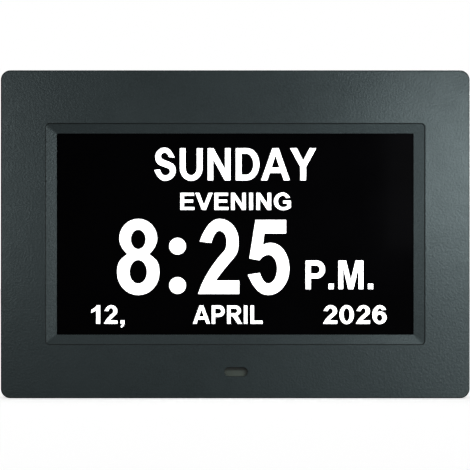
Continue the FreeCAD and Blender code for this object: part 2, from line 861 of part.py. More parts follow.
def make_led_chips(bottom, top):
    """Small lamps along the bar that shine up into the edge of the light guide."""
    count = 14
    chip = box("led_chip", (0, s.led_length), (0, s.guide_thick), (0, top - bottom))
    middles = [s.led_pitch * (number - (count - 1) / 2) for number in range(count)]
    places = [(middle - s.led_length / 2, FILM_BACK, bottom) for middle in middles]
    part("led_chips", copies("led_chips_set", chip, places))


def make_rear_tray():
    body = new_body("rear_tray")
    drawing = sketch(body, "XZ", TRAY_BACK - s.tray_flange_depth)
    rectangle(drawing, *TRAY_EDGE)
    pad(body, drawing, s.tray_flange_depth)
    room = sketch(body, "XZ", TRAY_BACK - s.tray_flange_depth)
    rectangle(room, *TRAY_ROOM)
    pocket(body, room, s.tray_flange_depth - s.tray_thick)
    part("rear_tray", body)


def make_brackets():
    """Flat steel strips that clamp the tray to bosses of the front moulding."""
    half = s.bracket_height / 2
    back = TRAY_BACK + s.bracket_thick
    strips = []
    for number, (across, up) in enumerate(BRACKET_PLACES, start=1):
        outer = s.bracket_boss_radius
        inner = BRACKET_X - TRAY_EDGE[1] + s.bracket_overlap
        if across.value < 0:
            outer, inner = inner, outer
        name = f"display_bracket_{number}"
        blank = box(name + "_blank", (across - inner, across + outer), (TRAY_BACK, back),
                    (up - half, up + half))
        hole = rod(name + "_hole", "Y", (across, up), s.small_thread_radius + s.screw_gap, TRAY_BACK, back)
        strips.append(cut(name, blank, [hole]))
    part("display_brackets", group("display_brackets_set", strips))


def make_display_flex():
    """A flat ribbon from the back of the tray to its plug on the main board."""
    half = s.flex_width / 2
    low_plane = TRAY_BACK + s.flex_thick / 2
    high_plane = s.front_lead_plane
    route = [(-half, low_plane, FLEX_LOW), (-half, low_plane, FLEX_LAND_TOP),
             (-half, high_plane, FLEX_LAND_TOP + s.flex_bend * 2), (-half, high_plane, FLEX_PLUG)]
    path = tube_path(route)
    corner = VECTOR(-half.value, low_plane.value - s.flex_thick.value / 2, FLEX_LOW.value)
    over = VECTOR(s.flex_width.value, 0, 0)
    through = VECTOR(0, s.flex_thick.value, 0)
    section = Part.makePolygon([corner, corner + over, corner + over + through, corner + through, corner])
    ribbon = DOCUMENT.addObject("Part::Feature", "display_flex_ribbon")
    ribbon.Shape = path.makePipeShell([section], True, True)
    part("display_flex", ribbon)


# ---------------------------------------------------------------- receiver behind its window

def make_receiver():
    centre = (s.window_offset, RECEIVER_LEVEL)
    half_width, half_height = s.receiver_board_width / 2, s.receiver_board_height / 2
    across = (s.window_offset - half_width, s.window_offset + half_width)
    tall = (RECEIVER_LEVEL - half_height, RECEIVER_LEVEL + half_height)
    blank = box("receiver_blank", across, (RECEIVER_FRONT, RECEIVER_BACK), tall)
    hole = s.small_thread_radius + s.screw_gap
    holes = [rod(f"receiver_hole_{n}", "Y", place, hole, RECEIVER_FRONT, RECEIVER_BACK)
             for n, place in enumerate(RECEIVER_HOLES)]
    part("receiver_board", cut("receiver_board_cut", blank, holes))
    body_half, body_rise = s.receiver_body_width / 2, s.receiver_body_height / 2
    body_front = RECEIVER_FRONT - s.receiver_body_depth
    block = box("receiver_block", (s.window_offset - body_half, s.window_offset + body_half),
                (body_front, RECEIVER_FRONT), (RECEIVER_LEVEL - body_rise, RECEIVER_LEVEL + body_rise))
    dome = DOCUMENT.addObject("Part::Sphere", "receiver_dome")
    bind(dome, "Radius", s.receiver_dome_radius)
    for axis, value in zip("xyz", (centre[0], body_front, centre[1])):
        bind(dome, f"Placement.Base.{axis}", value)
    part("ir_receiver", fuse("ir_receiver_body", [block, dome]))


# ---------------------------------------------------------------- rear cover

def leg_half(level):
    """Half the width of the tapered leg at a height."""
    lean = (s.leg_top_half - s.leg_foot_half) / (HINGE_LEVEL - s.leg_end)
    return s.leg_foot_half + lean * (level - s.leg_end)


def leg_outline(drawing, side_gap, low, high):
    """The tapered outline of the leg, wider by a gap on each side, between two heights."""
    low_half = leg_half(low) + side_gap
    high_half = leg_half(high) + side_gap
    polygon(drawing, [(-low_half, low), (low_half, low), (high_half, high), (-high_half, high)])


def notch_outline(drawing, margin):
    """The finger notch beside the free end of the leg."""
    right = s.leg_foot_half + s.notch_reach
    left = s.leg_foot_half - s.notch_corner
    rounded(drawing, left - margin, right + margin, s.notch_low - margin,
            s.notch_low + s.notch_height + margin, s.notch_corner + margin)


def keyhole_places():
    return (-s.keyhole_span / 2, s.keyhole_span / 2)


def keyhole_room(drawing, across, margin):
    """The chamber behind one keyhole."""
    half = s.keyhole_radius + margin
    top = s.keyhole_height + s.keyhole_rise + s.keyhole_radius + margin
    rounded(drawing, across - half, across + half, s.keyhole_height - half, top, half * 0.6)


def add_cover_insides(body):
    """Pan of the leg recess, hinge ears, chambers behind the keyholes, and posts."""
    pan = sketch(body, "XZ", PAN_FRONT)
    leg_outline(pan, s.leg_side_gap + s.recess_wall, s.recess_low - s.recess_wall,
                RECESS_HIGH + s.recess_wall)
    pad(body, pan, REAR_INNER - PAN_FRONT)
    notch = sketch(body, "XZ", REAR - s.notch_depth - s.recess_wall)
    notch_outline(notch, s.recess_wall)
    pad(body, notch, s.notch_depth + s.recess_wall - s.rear_skin)
    inner_ear = s.leg_top_half + s.leg_side_gap
    for side in (-1, 1):
        ear = sketch(body, "XZ", PAN_FRONT)
        near, far = inner_ear * side, (inner_ear + s.ear_width) * side
        left, right = (far, near) if side < 0 else (near, far)
        rectangle(ear, left, right, HINGE_LEVEL - s.ear_half_height, HINGE_LEVEL + s.ear_half_height)
        pad(body, ear, REAR_INNER - PAN_FRONT)
    for across in keyhole_places():
        chamber = sketch(body, "XZ", REAR - s.keyhole_pocket_depth - s.keyhole_wall)
        keyhole_room(chamber, across, s.keyhole_pocket_margin + s.keyhole_wall)
        pad(body, chamber, s.keyhole_pocket_depth + s.keyhole_wall - s.rear_skin)
    round_posts(body, BOSS_PLACES, s.post_radius, PARTING, REAR_INNER)
    round_posts(body, BOARD_HOLES, s.board_post_radius, BOARD_BACK, REAR_INNER)
    round_posts(body, POWER_HOLES, s.board_post_radius, POWER_BACK, REAR_INNER)
    round_posts(body, SPEAKER_POSTS, s.speaker_post_radius, SPEAKER_RIM_FRONT, REAR_INNER)


def cut_cover_holes(body):
    """Everything that is cut through or into the cover, from large to small."""
    recess = sketch(body, "XZ", RECESS_FLOOR)
    leg_outline(recess, s.leg_side_gap, s.recess_low, RECESS_HIGH)
    pocket(body, recess, REAR - RECESS_FLOOR)
    notch = sketch(body, "XZ", REAR - s.notch_depth)
    notch_outline(notch, term(0))
    pocket(body, notch, s.notch_depth)
    pin_hole = sketch(body, "YZ", -s.hinge_pin_half)
    circle(pin_hole, HINGE_Y, HINGE_LEVEL, s.hinge_pin_radius + s.hinge_seat_gap)
    pocket(body, pin_hole, s.hinge_pin_half * 2)
    for across in keyhole_places():
        chamber = sketch(body, "XZ", REAR - s.keyhole_pocket_depth)
        keyhole_room(chamber, across, s.keyhole_pocket_margin)
        pocket(body, chamber, s.keyhole_pocket_depth - s.rear_skin)
    cut_keyholes(body)
    round_holes(body, BOSS_PLACES, s.case_thread_radius + s.case_clearance, PARTING, CASE_SEAT)
    round_holes(body, BOSS_PLACES, s.counterbore_radius, CASE_SEAT, REAR)
    thread_hole = s.small_thread_radius + s.screw_gap
    board_end = s.board_front + s.board_screw_length + s.screw_gap
    round_holes(body, BOARD_HOLES, thread_hole, BOARD_BACK, board_end)
    power_end = s.power_front + s.board_screw_length + s.screw_gap
    round_holes(body, POWER_HOLES, thread_hole, POWER_BACK, power_end)
    speaker_end = SPEAKER_SEAT + s.speaker_screw_length + s.screw_gap
    round_holes(body, SPEAKER_POSTS, thread_hole, SPEAKER_RIM_FRONT, speaker_end)
    jack_hole = sketch(body, "YZ", SIDE_INNER - s.seam_gap)
    circle(jack_hole, JACK_Y, s.power_height, s.jack_nose_radius + s.fit_gap)
    pocket(body, jack_hole, s.wall + s.seam_gap * 2)


def cut_keyholes(body):
    """Round entry and narrow slot of each keyhole, through the rear skin."""
    heads = [(across, s.keyhole_height) for across in keyhole_places()]
    round_holes(body, heads, s.keyhole_radius, REAR_INNER, REAR)
    necks = sketch(body, "XZ", REAR_INNER)
    for across in keyhole_places():
        left, right = across - s.keyhole_slot, across + s.keyhole_slot
        rectangle(necks, left, right, s.keyhole_height, s.keyhole_height + s.keyhole_rise)
    pocket(body, necks, s.rear_skin)
    ends = [(across, s.keyhole_height + s.keyhole_rise) for across in keyhole_places()]
    round_holes(body, ends, s.keyhole_slot, REAR_INNER, REAR)


def cut_key_row(body):
    """The shallow dish round the keys and a hole for each of them."""
    dish = sketch(body, "XZ", REAR - s.key_dish_depth)
    reach = KEY_PLACES[-1] + s.key_length / 2 + s.key_dish_margin
    rise = s.key_tall / 2 + s.key_dish_margin / 2
    oblong(dish, term(0), KEY_LEVEL, reach * 2, rise * 2)
    pocket(body, dish, s.key_dish_depth)
    openings = sketch(body, "XZ", REAR_INNER)
    for place in KEY_PLACES:
        oblong(openings, place, KEY_LEVEL, s.key_length + s.key_gap * 2, s.key_tall + s.key_gap * 2)
    pocket(body, openings, s.rear_skin)


def vent_tools():
    """One solid for each vent: upright slots in two rows, one on each side of the keys."""
    slot = new_body("vent_tool")
    drawing = sketch(slot, "XZ", term(0))
    half = s.vent_width / 2
    rounded(drawing, -half, half, term(0), s.vent_tall, half * 0.9)
    pad(slot, drawing, s.rear_skin)
    steps = [SIDE - s.vent_inset - s.vent_pitch * number for number in range(int(s.vent_count.value))]
    low = s.case_height - s.vent_top_gap - s.vent_tall
    return copies("vents", slot, [(step * side, REAR_INNER, low) for side in (-1, 1) for step in steps])


def grille_tools():
    """One solid for each speaker hole: a middle one and two rings round it."""
    places = [(s.speaker_offset, s.speaker_height)]
    for ring_number in (1, 2):
        in_ring = 6 * ring_number
        for number in range(in_ring):
            angle = 2 * math.pi * number / in_ring
            reach = s.grille_pitch * ring_number
            across = s.speaker_offset + reach * math.cos(angle)
            places.append((across, s.speaker_height + reach * math.sin(angle)))
    return group("grille", [rod(f"grille_hole_{number}", "Y", place, s.grille_hole, REAR_INNER, REAR)
                            for number, place in enumerate(places)])


def make_back_cover():
    body = new_body("back_cover")
    outer = sketch(body, "XZ", PARTING)
    case_outline(outer, term(0))
    block = pad(body, outer, REAR - PARTING)
    soften(body, block, s.rear_edge, at_level("y", REAR))
    lip_outer = s.wall + s.seam_gap
    lip_inner = lip_outer + s.seam_lip_wall
    mouth = sketch(body, "XZ", PARTING)
    case_outline(mouth, lip_inner)
    pocket(body, mouth, s.seam_lip_root)
    inside = sketch(body, "XZ", PARTING + s.seam_lip_root)
    case_outline(inside, s.wall)
    pocket(body, inside, REAR_INNER - PARTING - s.seam_lip_root)
    lip = sketch(body, "XZ", PARTING - s.seam_lip_height)
    case_outline(lip, lip_outer)
    case_outline(lip, lip_inner)
    pad(body, lip, s.seam_lip_height)
    add_cover_insides(body)
    cut_cover_holes(body)
    cut_key_row(body)
    air_and_sound = group("air_and_sound", [vent_tools(), grille_tools()])
    return part("back_cover", cut("back_cover_cut", body, [air_and_sound]))


# ---------------------------------------------------------------- boards and what they carry

def drilled_board(label, across, deep, tall, holes):
    """A flat board with a clearance hole at each of its screws."""
    blank = box(label + "_blank", across, deep, tall)
    radius = s.small_thread_radius + s.screw_gap
    drills = [rod(f"{label}_hole_{n}", "Y", place, radius, *deep) for n, place in enumerate(holes, start=1)]
    return part(label, cut(label + "_cut", blank, drills))


def chip(name, across, up, length, tall, front, thick):
    """A block that stands on a board, centred on a place."""
    return box(name, (across - length / 2, across + length / 2), (front, front + thick),
               (up - tall / 2, up + tall / 2))


def make_main_board():
    drilled_board("main_board", (-BOARD_SIDE, BOARD_SIDE), (s.board_front, BOARD_BACK),
                  (BOARD_LOW, BOARD_HIGH), BOARD_HOLES)
    side = s.processor_side
    up = BOARD_LOW + s.processor_rise
    part("processor", chip("processor_block", s.processor_offset, up, side, side, BOARD_BACK,
                           s.processor_thick))
    memory = []
    for number in range(2):
        up = BOARD_LOW + s.memory_rise + s.memory_pitch * number
        memory.append(chip(f"memory_{number + 1}", s.memory_offset, up, s.memory_length, s.memory_width,
                           BOARD_BACK, s.memory_thick))
    part("memory_chips", group("memory_chips_set", memory))
    part("crystal", chip("crystal_can", s.crystal_offset, BOARD_LOW + s.crystal_rise, s.crystal_length,
                         s.crystal_width, BOARD_BACK, s.crystal_height))
    half = s.flex_width / 2 + s.flex_plug_margin
    part("flex_connector", box("flex_plug", (-half, half),
                               (s.front_lead_plane - s.flex_plug_half_depth, s.board_front),
                               (FLEX_PLUG, FLEX_PLUG + s.flex_plug_height)))


def make_power_board():
    drilled_board("power_board", (POWER_LEFT, POWER_RIGHT), (s.power_front, POWER_BACK),
                  (POWER_LOW, POWER_HIGH), POWER_HOLES)
    right = SIDE_INNER - s.jack_gap
    tip = right + s.jack_nose
    centre = (JACK_Y, s.power_height)
    half = s.jack_side / 2
    block = box("jack_block", (right - s.jack_length, right), (POWER_BACK, POWER_BACK + s.jack_side),
                (s.power_height - half, s.power_height + half))
    nose = rod("jack_nose", "X", centre, s.jack_nose_radius, right, tip)
    bore = rod("jack_bore", "X", centre, s.jack_bore, tip - s.jack_bore_depth, tip)
    part("dc_jack", cut("dc_jack_body", fuse("jack_blank", [block, nose]), [bore]))
    part("dc_jack_pin", rod("jack_pin", "X", centre, s.jack_pin_radius, tip - s.jack_bore_depth,
                            tip - s.jack_pin_sunk))


def make_inductors_and_capacitors():
    """One of each on the main board and one of each on the power board."""
    coil_up = BOARD_LOW + s.inductor_rise
    power_coil = (POWER_LEFT + s.power_inductor_offset, s.power_height + s.power_part_rise)
    coils = [chip("main_inductor", s.inductor_offset, coil_up, s.inductor_side, s.inductor_side, BOARD_BACK,
                  s.inductor_height),
             chip("power_inductor", *power_coil, s.inductor_side, s.inductor_side, POWER_BACK,
                  s.inductor_height)]
    part("inductors", group("inductors_set", coils))
    main_can = (s.capacitor_offset, BOARD_LOW + s.capacitor_rise)
    power_can = (POWER_LEFT + s.power_capacitor_offset, s.power_height - s.power_part_rise)
    cans = [rod("main_capacitor", "Y", main_can, s.capacitor_radius, BOARD_BACK,
                BOARD_BACK + s.capacitor_height),
            rod("power_capacitor", "Y", power_can, s.capacitor_radius, POWER_BACK,
                POWER_BACK + s.capacitor_height)]
    part("capacitors", group("capacitors_set", cans))


def make_coin_cell():
    centre = (s.coin_offset, BOARD_LOW + s.coin_rise)
    floor = BOARD_BACK + s.cell_holder_floor
    top = BOARD_BACK + s.cell_holder_height
    cup = rod("cell_cup", "Y", centre, s.cell_holder_radius, BOARD_BACK, top)
    room = rod("cell_room", "Y", centre, s.coin_radius + s.coin_gap, floor, top)
    part("coin_cell_holder", cut("cell_holder", cup, [room]))
    part("coin_cell", rod("cell_disc", "Y", centre, s.coin_radius, floor, floor + s.coin_thick))


def make_leads():
    """Small plugs on the boards and the leads that run between them inside the case."""
    half, deep = s.connector_length / 2, s.connector_depth
    level = BOARD_LOW + s.connector_rise
    back = s.lead_plane * 2 - BOARD_BACK
    power_back = s.lead_plane * 2 - POWER_BACK
    board_front = s.front_lead_plane * 2 - s.board_front
    receiver_back = s.front_lead_plane * 2 - RECEIVER_BACK
    receiver_top = RECEIVER_LEVEL + s.receiver_board_height / 2
    window, offset = s.window_offset, s.receiver_plug_offset
    plugs = [
        box("speaker_plug", (-BOARD_SIDE, deep - BOARD_SIDE), (BOARD_BACK, back),
            (level - half, level + half)),
        box("power_plug", (BOARD_SIDE - deep, BOARD_SIDE), (BOARD_BACK, back), (level - half, level + half)),
        box("main_receiver_plug", (offset - half, offset + half), (board_front, s.board_front),
            (BOARD_LOW, BOARD_LOW + deep)),
        box("receiver_plug", (window - half, window + half), (RECEIVER_BACK, receiver_back),
            (receiver_top - deep, receiver_top)),
        box("inlet_plug", (POWER_LEFT, POWER_LEFT + deep), (POWER_BACK, power_back),
            (s.power_height - half, s.power_height + half)),
    ]
    part("lead_connectors", group("lead_connectors_set", plugs))
    plane = s.lead_plane
    terminal = s.speaker_height + s.terminal_high
    lead("speaker_lead", [(-BOARD_SIDE, plane, level), (s.speaker_offset, plane, level),
                          (s.speaker_offset, plane, terminal)])
    turn = POWER_LEFT - s.power_lead_run
    lead("power_lead", [(BOARD_SIDE, plane, level), (turn, plane, level), (turn, plane, s.power_height),
                        (POWER_LEFT, plane, s.power_height)])
    low_bend = receiver_top + s.receiver_lead_low
    high_bend = receiver_top + s.receiver_lead_high
    front = s.front_lead_plane
    lead("receiver_lead", [(window, front, receiver_top), (window, front, low_bend),
                           (offset, front, high_bend), (offset, front, BOARD_LOW)])


# ---------------------------------------------------------------- keys

def make_key(number, across):
    """A key cap with its flange inside the cover, and the plunger of the switch that it presses."""
    flange_front = REAR_INNER - s.key_flange_thick
    pip_front = flange_front - s.key_pip_length
    body = new_body(f"key_{number}")
    flange = sketch(body, "XZ", flange_front)
    wide = s.key_flange * 2
    oblong(flange, across, KEY_LEVEL, s.key_length + wide, s.key_tall + wide)
    pad(body, flange, s.key_flange_thick)
    pip = sketch(body, "XZ", pip_front)
    circle(pip, across, KEY_LEVEL, s.key_pip_radius)
    pad(body, pip, s.key_pip_length)
    cap = sketch(body, "XZ", REAR_INNER)
    oblong(cap, across, KEY_LEVEL, s.key_length, s.key_tall)
    finished = pad(body, cap, s.rear_skin)
    soften(body, finished, s.key_edge, at_level("y", REAR))
    part(f"key_{number}", body)
    plunger = rod(f"plunger_{number}", "Y", (across, KEY_LEVEL), s.plunger_radius,
                  SWITCH_BACK - s.plunger_sunk, pip_front)
    part(f"key_plunger_{number}", plunger)


def make_keys():
    side = s.switch_side
    switches = []
    for number, across in enumerate(KEY_PLACES, start=1):
        make_key(number, across)
        block = chip(f"switch_block_{number}", across, KEY_LEVEL, side, side, BOARD_BACK, s.switch_height)
        bore = rod(f"switch_bore_{number}", "Y", (across, KEY_LEVEL), s.plunger_radius + s.plunger_gap,
                   SWITCH_BACK - s.plunger_sunk - s.key_travel - s.plunger_gap, SWITCH_BACK)
        switches.append(cut(f"switch_{number}", block, [bore]))
    part("key_switches", group("key_switches_set", switches))


# ---------------------------------------------------------------- kickstand

def make_kickstand():
    body = new_body("kickstand")
    front = HINGE_Y - s.leg_thick / 2
    outline = sketch(body, "XZ", front)
    leg_outline(outline, term(0), s.leg_end, HINGE_LEVEL)
    blank = pad(body, outline, s.leg_thick)
    end = s.leg_end.value
    foot_half = s.leg_foot_half.value

    def end_corner(edge):
        near = 1e-4
        places = [vertex.Point for vertex in edge.Vertexes]
        along_y = abs(places[0].x - places[-1].x) < near
        return along_y and all(abs(p.z - end) < near and abs(abs(p.x) - foot_half) < near for p in places)

    soften(body, blank, s.leg_corner, end_corner)
    barrel = sketch(body, "YZ", -s.leg_top_half)
    circle(barrel, HINGE_Y, HINGE_LEVEL, s.leg_thick / 2)
    pad(body, barrel, s.leg_top_half * 2)
    stop_reach = HINGE_Y - RECESS_FLOOR - s.stop_gap
    heel_high = (stop_reach - s.leg_heel_setback * cosine(s.leg_stop_angle)) / sine(s.leg_stop_angle)
    heel = sketch(body, "YZ", -s.leg_heel_half)
    rectangle(heel, HINGE_Y - s.leg_heel_setback, HINGE_Y + s.leg_thick / 2, HINGE_LEVEL,
              HINGE_LEVEL + heel_high)
    pad(body, heel, s.leg_heel_half * 2)
    low, high = s.leg_end + s.leg_solid_end, HINGE_LEVEL - s.leg_solid_top
    for side in (-1, 1):
        hollow = sketch(body, "XZ", front)
        low_far, high_far = (leg_half(low) - s.leg_rim) * side, (leg_half(high) - s.leg_rim) * side
        near = s.leg_rib_half * side
        corners = [(near, low), (low_far, low), (high_far, high), (near, high)]
        polygon(hollow, corners if side > 0 else corners[::-1])
        pocket(body, hollow, s.leg_thick - s.leg_skin)
    seat = sketch(body, "XZ", front + s.foot_setback)
    rectangle(seat, -s.foot_half, s.foot_half, s.leg_end - s.foot_proud, s.leg_end + s.foot_seat)
    pocket(body, seat, s.leg_thick - s.foot_setback * 2)
    bore = sketch(body, "YZ", -s.leg_top_half)
    circle(bore, HINGE_Y, HINGE_LEVEL, s.hinge_pin_radius + s.hinge_running_gap)
    pocket(body, bore, s.leg_top_half * 2)
    part("kickstand", body)
    pad_front = front + s.foot_setback
    part("kickstand_foot", box("foot_pad", (-s.foot_half, s.foot_half),
                               (pad_front, front + s.leg_thick - s.foot_setback),
                               (s.leg_end - s.foot_proud, s.leg_end + s.foot_seat)))


def make_hinge():
    centre = (HINGE_Y, HINGE_LEVEL)
    part("hinge_pin", rod("pin_rod", "X", centre, s.hinge_pin_radius, -s.hinge_pin_half, s.hinge_pin_half))
    washers = []
    near = s.leg_top_half + s.washer_gap
    far = near + s.washer_thick
    for name, start, end in (("left", -far, -near), ("right", near, far)):
        disc = rod(f"washer_{name}_disc", "X", centre, s.washer_radius, start, end)
        hole = rod(f"washer_{name}_hole", "X", centre, s.hinge_pin_radius + s.hinge_running_gap, start, end)
        washers.append(cut(f"washer_{name}", disc, [hole]))
    part("hinge_washers", group("hinge_washers_set", washers))


# ---------------------------------------------------------------- speaker

def speaker_ring(name, outer, inner, front, back):
    centre = (s.speaker_offset, s.speaker_height)
    disc = rod(name + "_disc", "Y", centre, outer, front, back)
    hole = rod(name + "_hole", "Y", centre, inner, front, back)
    return cut(name, disc, [hole])


def make_speaker():
    centre = (s.speaker_offset, s.speaker_height)
    part("speaker_gasket", speaker_ring("gasket_ring", s.speaker_radius, s.gasket_inner, SPEAKER_RIM_BACK,
                                        REAR_INNER))
    rim = speaker_ring("speaker_rim", s.speaker_radius, s.speaker_radius - s.speaker_rim_width,
                       SPEAKER_RIM_FRONT, SPEAKER_RIM_BACK)
    cup_front = SPEAKER_RIM_FRONT - s.speaker_cup_depth
    shell, cup = s.speaker_shell, s.speaker_cup_radius
    outside = taper("cup_outside", "Y", centre, cup, s.speaker_cup_rim, cup_front, SPEAKER_RIM_FRONT)
    inside = taper("cup_inside", "Y", centre, cup - shell, s.speaker_cup_rim - shell, cup_front,
                   SPEAKER_RIM_FRONT)
    floor_front = cup_front - shell
    floor = rod("cup_floor", "Y", centre, cup, floor_front, cup_front)
    terminal_half = s.terminal_width / 2
    terminal = box("terminal", (s.speaker_offset - terminal_half, s.speaker_offset + terminal_half),
                   (s.lead_plane - s.terminal_half_depth, SPEAKER_RIM_FRONT),
                   (s.speaker_height + s.terminal_low, s.speaker_height + s.terminal_high))
    part("speaker_basket", fuse("basket", [rim, cut("cup_shell", outside, [inside]), floor, terminal]))
    part("speaker_magnet", rod("magnet_disc", "Y", centre, s.magnet_radius, floor_front - s.magnet_thick,
                               floor_front))
    make_speaker_cone(centre)
    washers = []
    for number, place in enumerate(SPEAKER_POSTS, start=1):
        disc = rod(f"speaker_washer_disc_{number}", "Y", place, s.speaker_washer_radius, SPEAKER_SEAT,
                   SPEAKER_RIM_FRONT)
        hole = rod(f"speaker_washer_hole_{number}", "Y", place, s.small_thread_radius + s.screw_gap,
                   SPEAKER_SEAT, SPEAKER_RIM_FRONT)
        washers.append(cut(f"speaker_washer_{number}", disc, [hole]))
    part("speaker_washers", group("speaker_washers_set", washers))


def make_speaker_cone(centre):
    """Paper cone with its cap and its surround, which lies on the rim of the basket."""
    surround = speaker_ring("surround", s.surround_outer, s.surround_inner, SPEAKER_RIM_BACK,
                            SPEAKER_RIM_BACK + s.surround_thick)
    thick = s.cone_thick
    neck_front = SPEAKER_RIM_BACK - s.cone_depth
    outside = taper("cone_outside", "Y", centre, s.cone_neck + thick, s.surround_inner + thick, neck_front,
                    SPEAKER_RIM_BACK)
    inside = taper("cone_inside", "Y", centre, s.cone_neck, s.surround_inner, neck_front, SPEAKER_RIM_BACK)
    cap = rod("cone_cap", "Y", centre, s.cone_neck + thick, neck_front - thick, neck_front)
    part("speaker_cone", fuse("cone", [surround, cut("cone_wall", outside, [inside]), cap]))


# ---------------------------------------------------------------- screws

def make_screws():
    small = (s.small_head_radius, s.small_head_height, s.small_thread_radius)
    about_turn = FreeCAD.Rotation(VECTOR(0, 0, 1), 180)
    case_screw = screw("case_screw", s.case_head_radius, s.case_head_height, s.case_thread_radius,
                       s.case_screw_length)
    part("case_screws", copies("case_screws_set", case_screw, [(x, CASE_SEAT, z) for x, z in BOSS_PLACES]))
    short = screw("short_screw", *small, s.small_screw_length)
    bracket_seat = TRAY_BACK + s.bracket_thick
    places = [(across, bracket_seat, up) for across, up in BRACKET_PLACES]
    part("bracket_screws", copies("bracket_screws_set", short, places))
    part("receiver_screws", copies("receiver_screws_set", short,
                                   [(x, RECEIVER_BACK, z) for x, z in RECEIVER_HOLES]))
    board_screw = screw("board_screw", *small, s.board_screw_length)
    board_places = [(x, s.board_front, z) for x, z in BOARD_HOLES]
    board_places += [(x, s.power_front, z) for x, z in POWER_HOLES]
    part("board_screws", copies("board_screws_set", board_screw, board_places, about_turn))
    speaker_screw = screw("speaker_screw", *small, s.speaker_screw_length)
    part("speaker_screws", copies("speaker_screws_set", speaker_screw,
                                  [(x, SPEAKER_SEAT, z) for x, z in SPEAKER_POSTS], about_turn))


# ---------------------------------------------------------------- the whole clock

def check_document():
    """Stop if any object failed or any sub-part has no sound shape."""
    for thing in DOCUMENT.Objects:
        if "Invalid" in thing.State or "Error" in thing.State:
            raise RuntimeError(f"{thing.Name} ({thing.Label}) failed: {thing.State}")
    for thing in PARTS:
        if thing.Shape.isNull() or not thing.Shape.isValid() or not thing.Shape.Solids:
            raise RuntimeError(f"{thing.Label} has no sound shape")


def write_parts():
    os.makedirs("parts", exist_ok=True)
    for thing in PARTS:
        thing.Shape.exportStep(os.path.join("parts", thing.Label + ".step"))
    print(f"{len(PARTS)} sub-parts written")


make_front_bezel()
make_ir_window()
make_display()
make_receiver()
make_back_cover()
make_main_board()
make_power_board()
make_inductors_and_capacitors()
make_coin_cell()
make_leads()
make_keys()
make_kickstand()
make_hinge()
make_speaker()
make_screws()
DOCUMENT.recompute()
check_document()
write_parts()
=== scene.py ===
"""A day clock: a wide satin case round a black display, with keys, vents and a stand leg behind."""

import json
import logging
import math
from dataclasses import dataclass, field
from enum import Enum

import bmesh
import bpy
from mathutils import Matrix, Vector

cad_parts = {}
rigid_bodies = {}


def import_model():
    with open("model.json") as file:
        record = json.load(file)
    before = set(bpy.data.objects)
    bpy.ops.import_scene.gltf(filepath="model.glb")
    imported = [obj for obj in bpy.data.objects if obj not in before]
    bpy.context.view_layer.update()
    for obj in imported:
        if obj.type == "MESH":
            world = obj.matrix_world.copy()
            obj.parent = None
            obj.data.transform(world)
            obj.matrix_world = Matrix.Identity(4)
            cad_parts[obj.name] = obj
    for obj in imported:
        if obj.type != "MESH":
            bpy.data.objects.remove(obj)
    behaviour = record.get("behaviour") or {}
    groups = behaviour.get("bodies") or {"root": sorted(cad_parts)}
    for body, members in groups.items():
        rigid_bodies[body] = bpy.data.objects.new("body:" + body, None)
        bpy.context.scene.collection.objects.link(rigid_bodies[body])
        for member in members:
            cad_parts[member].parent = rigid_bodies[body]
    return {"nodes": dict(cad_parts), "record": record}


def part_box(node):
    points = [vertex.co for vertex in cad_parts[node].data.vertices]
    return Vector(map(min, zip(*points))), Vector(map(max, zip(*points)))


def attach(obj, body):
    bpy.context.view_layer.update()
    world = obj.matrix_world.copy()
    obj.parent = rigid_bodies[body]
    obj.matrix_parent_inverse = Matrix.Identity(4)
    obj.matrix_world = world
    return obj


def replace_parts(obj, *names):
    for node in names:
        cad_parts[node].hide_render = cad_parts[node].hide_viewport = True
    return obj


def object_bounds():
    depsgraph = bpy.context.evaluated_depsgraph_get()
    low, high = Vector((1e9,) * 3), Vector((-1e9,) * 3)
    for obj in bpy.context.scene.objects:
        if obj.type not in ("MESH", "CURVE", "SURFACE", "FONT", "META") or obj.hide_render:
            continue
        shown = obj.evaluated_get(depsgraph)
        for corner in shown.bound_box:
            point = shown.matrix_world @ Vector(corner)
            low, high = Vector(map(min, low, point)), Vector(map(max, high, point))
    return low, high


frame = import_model()
cad_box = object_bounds()

MM = 0.001
LOG = logging.getLogger("day_clock")

Socket = bpy.types.NodeSocket
Shape = bmesh.types.BMesh
Colour = tuple[float, float, float]


# ---------------------------------------------------------------- shader trees

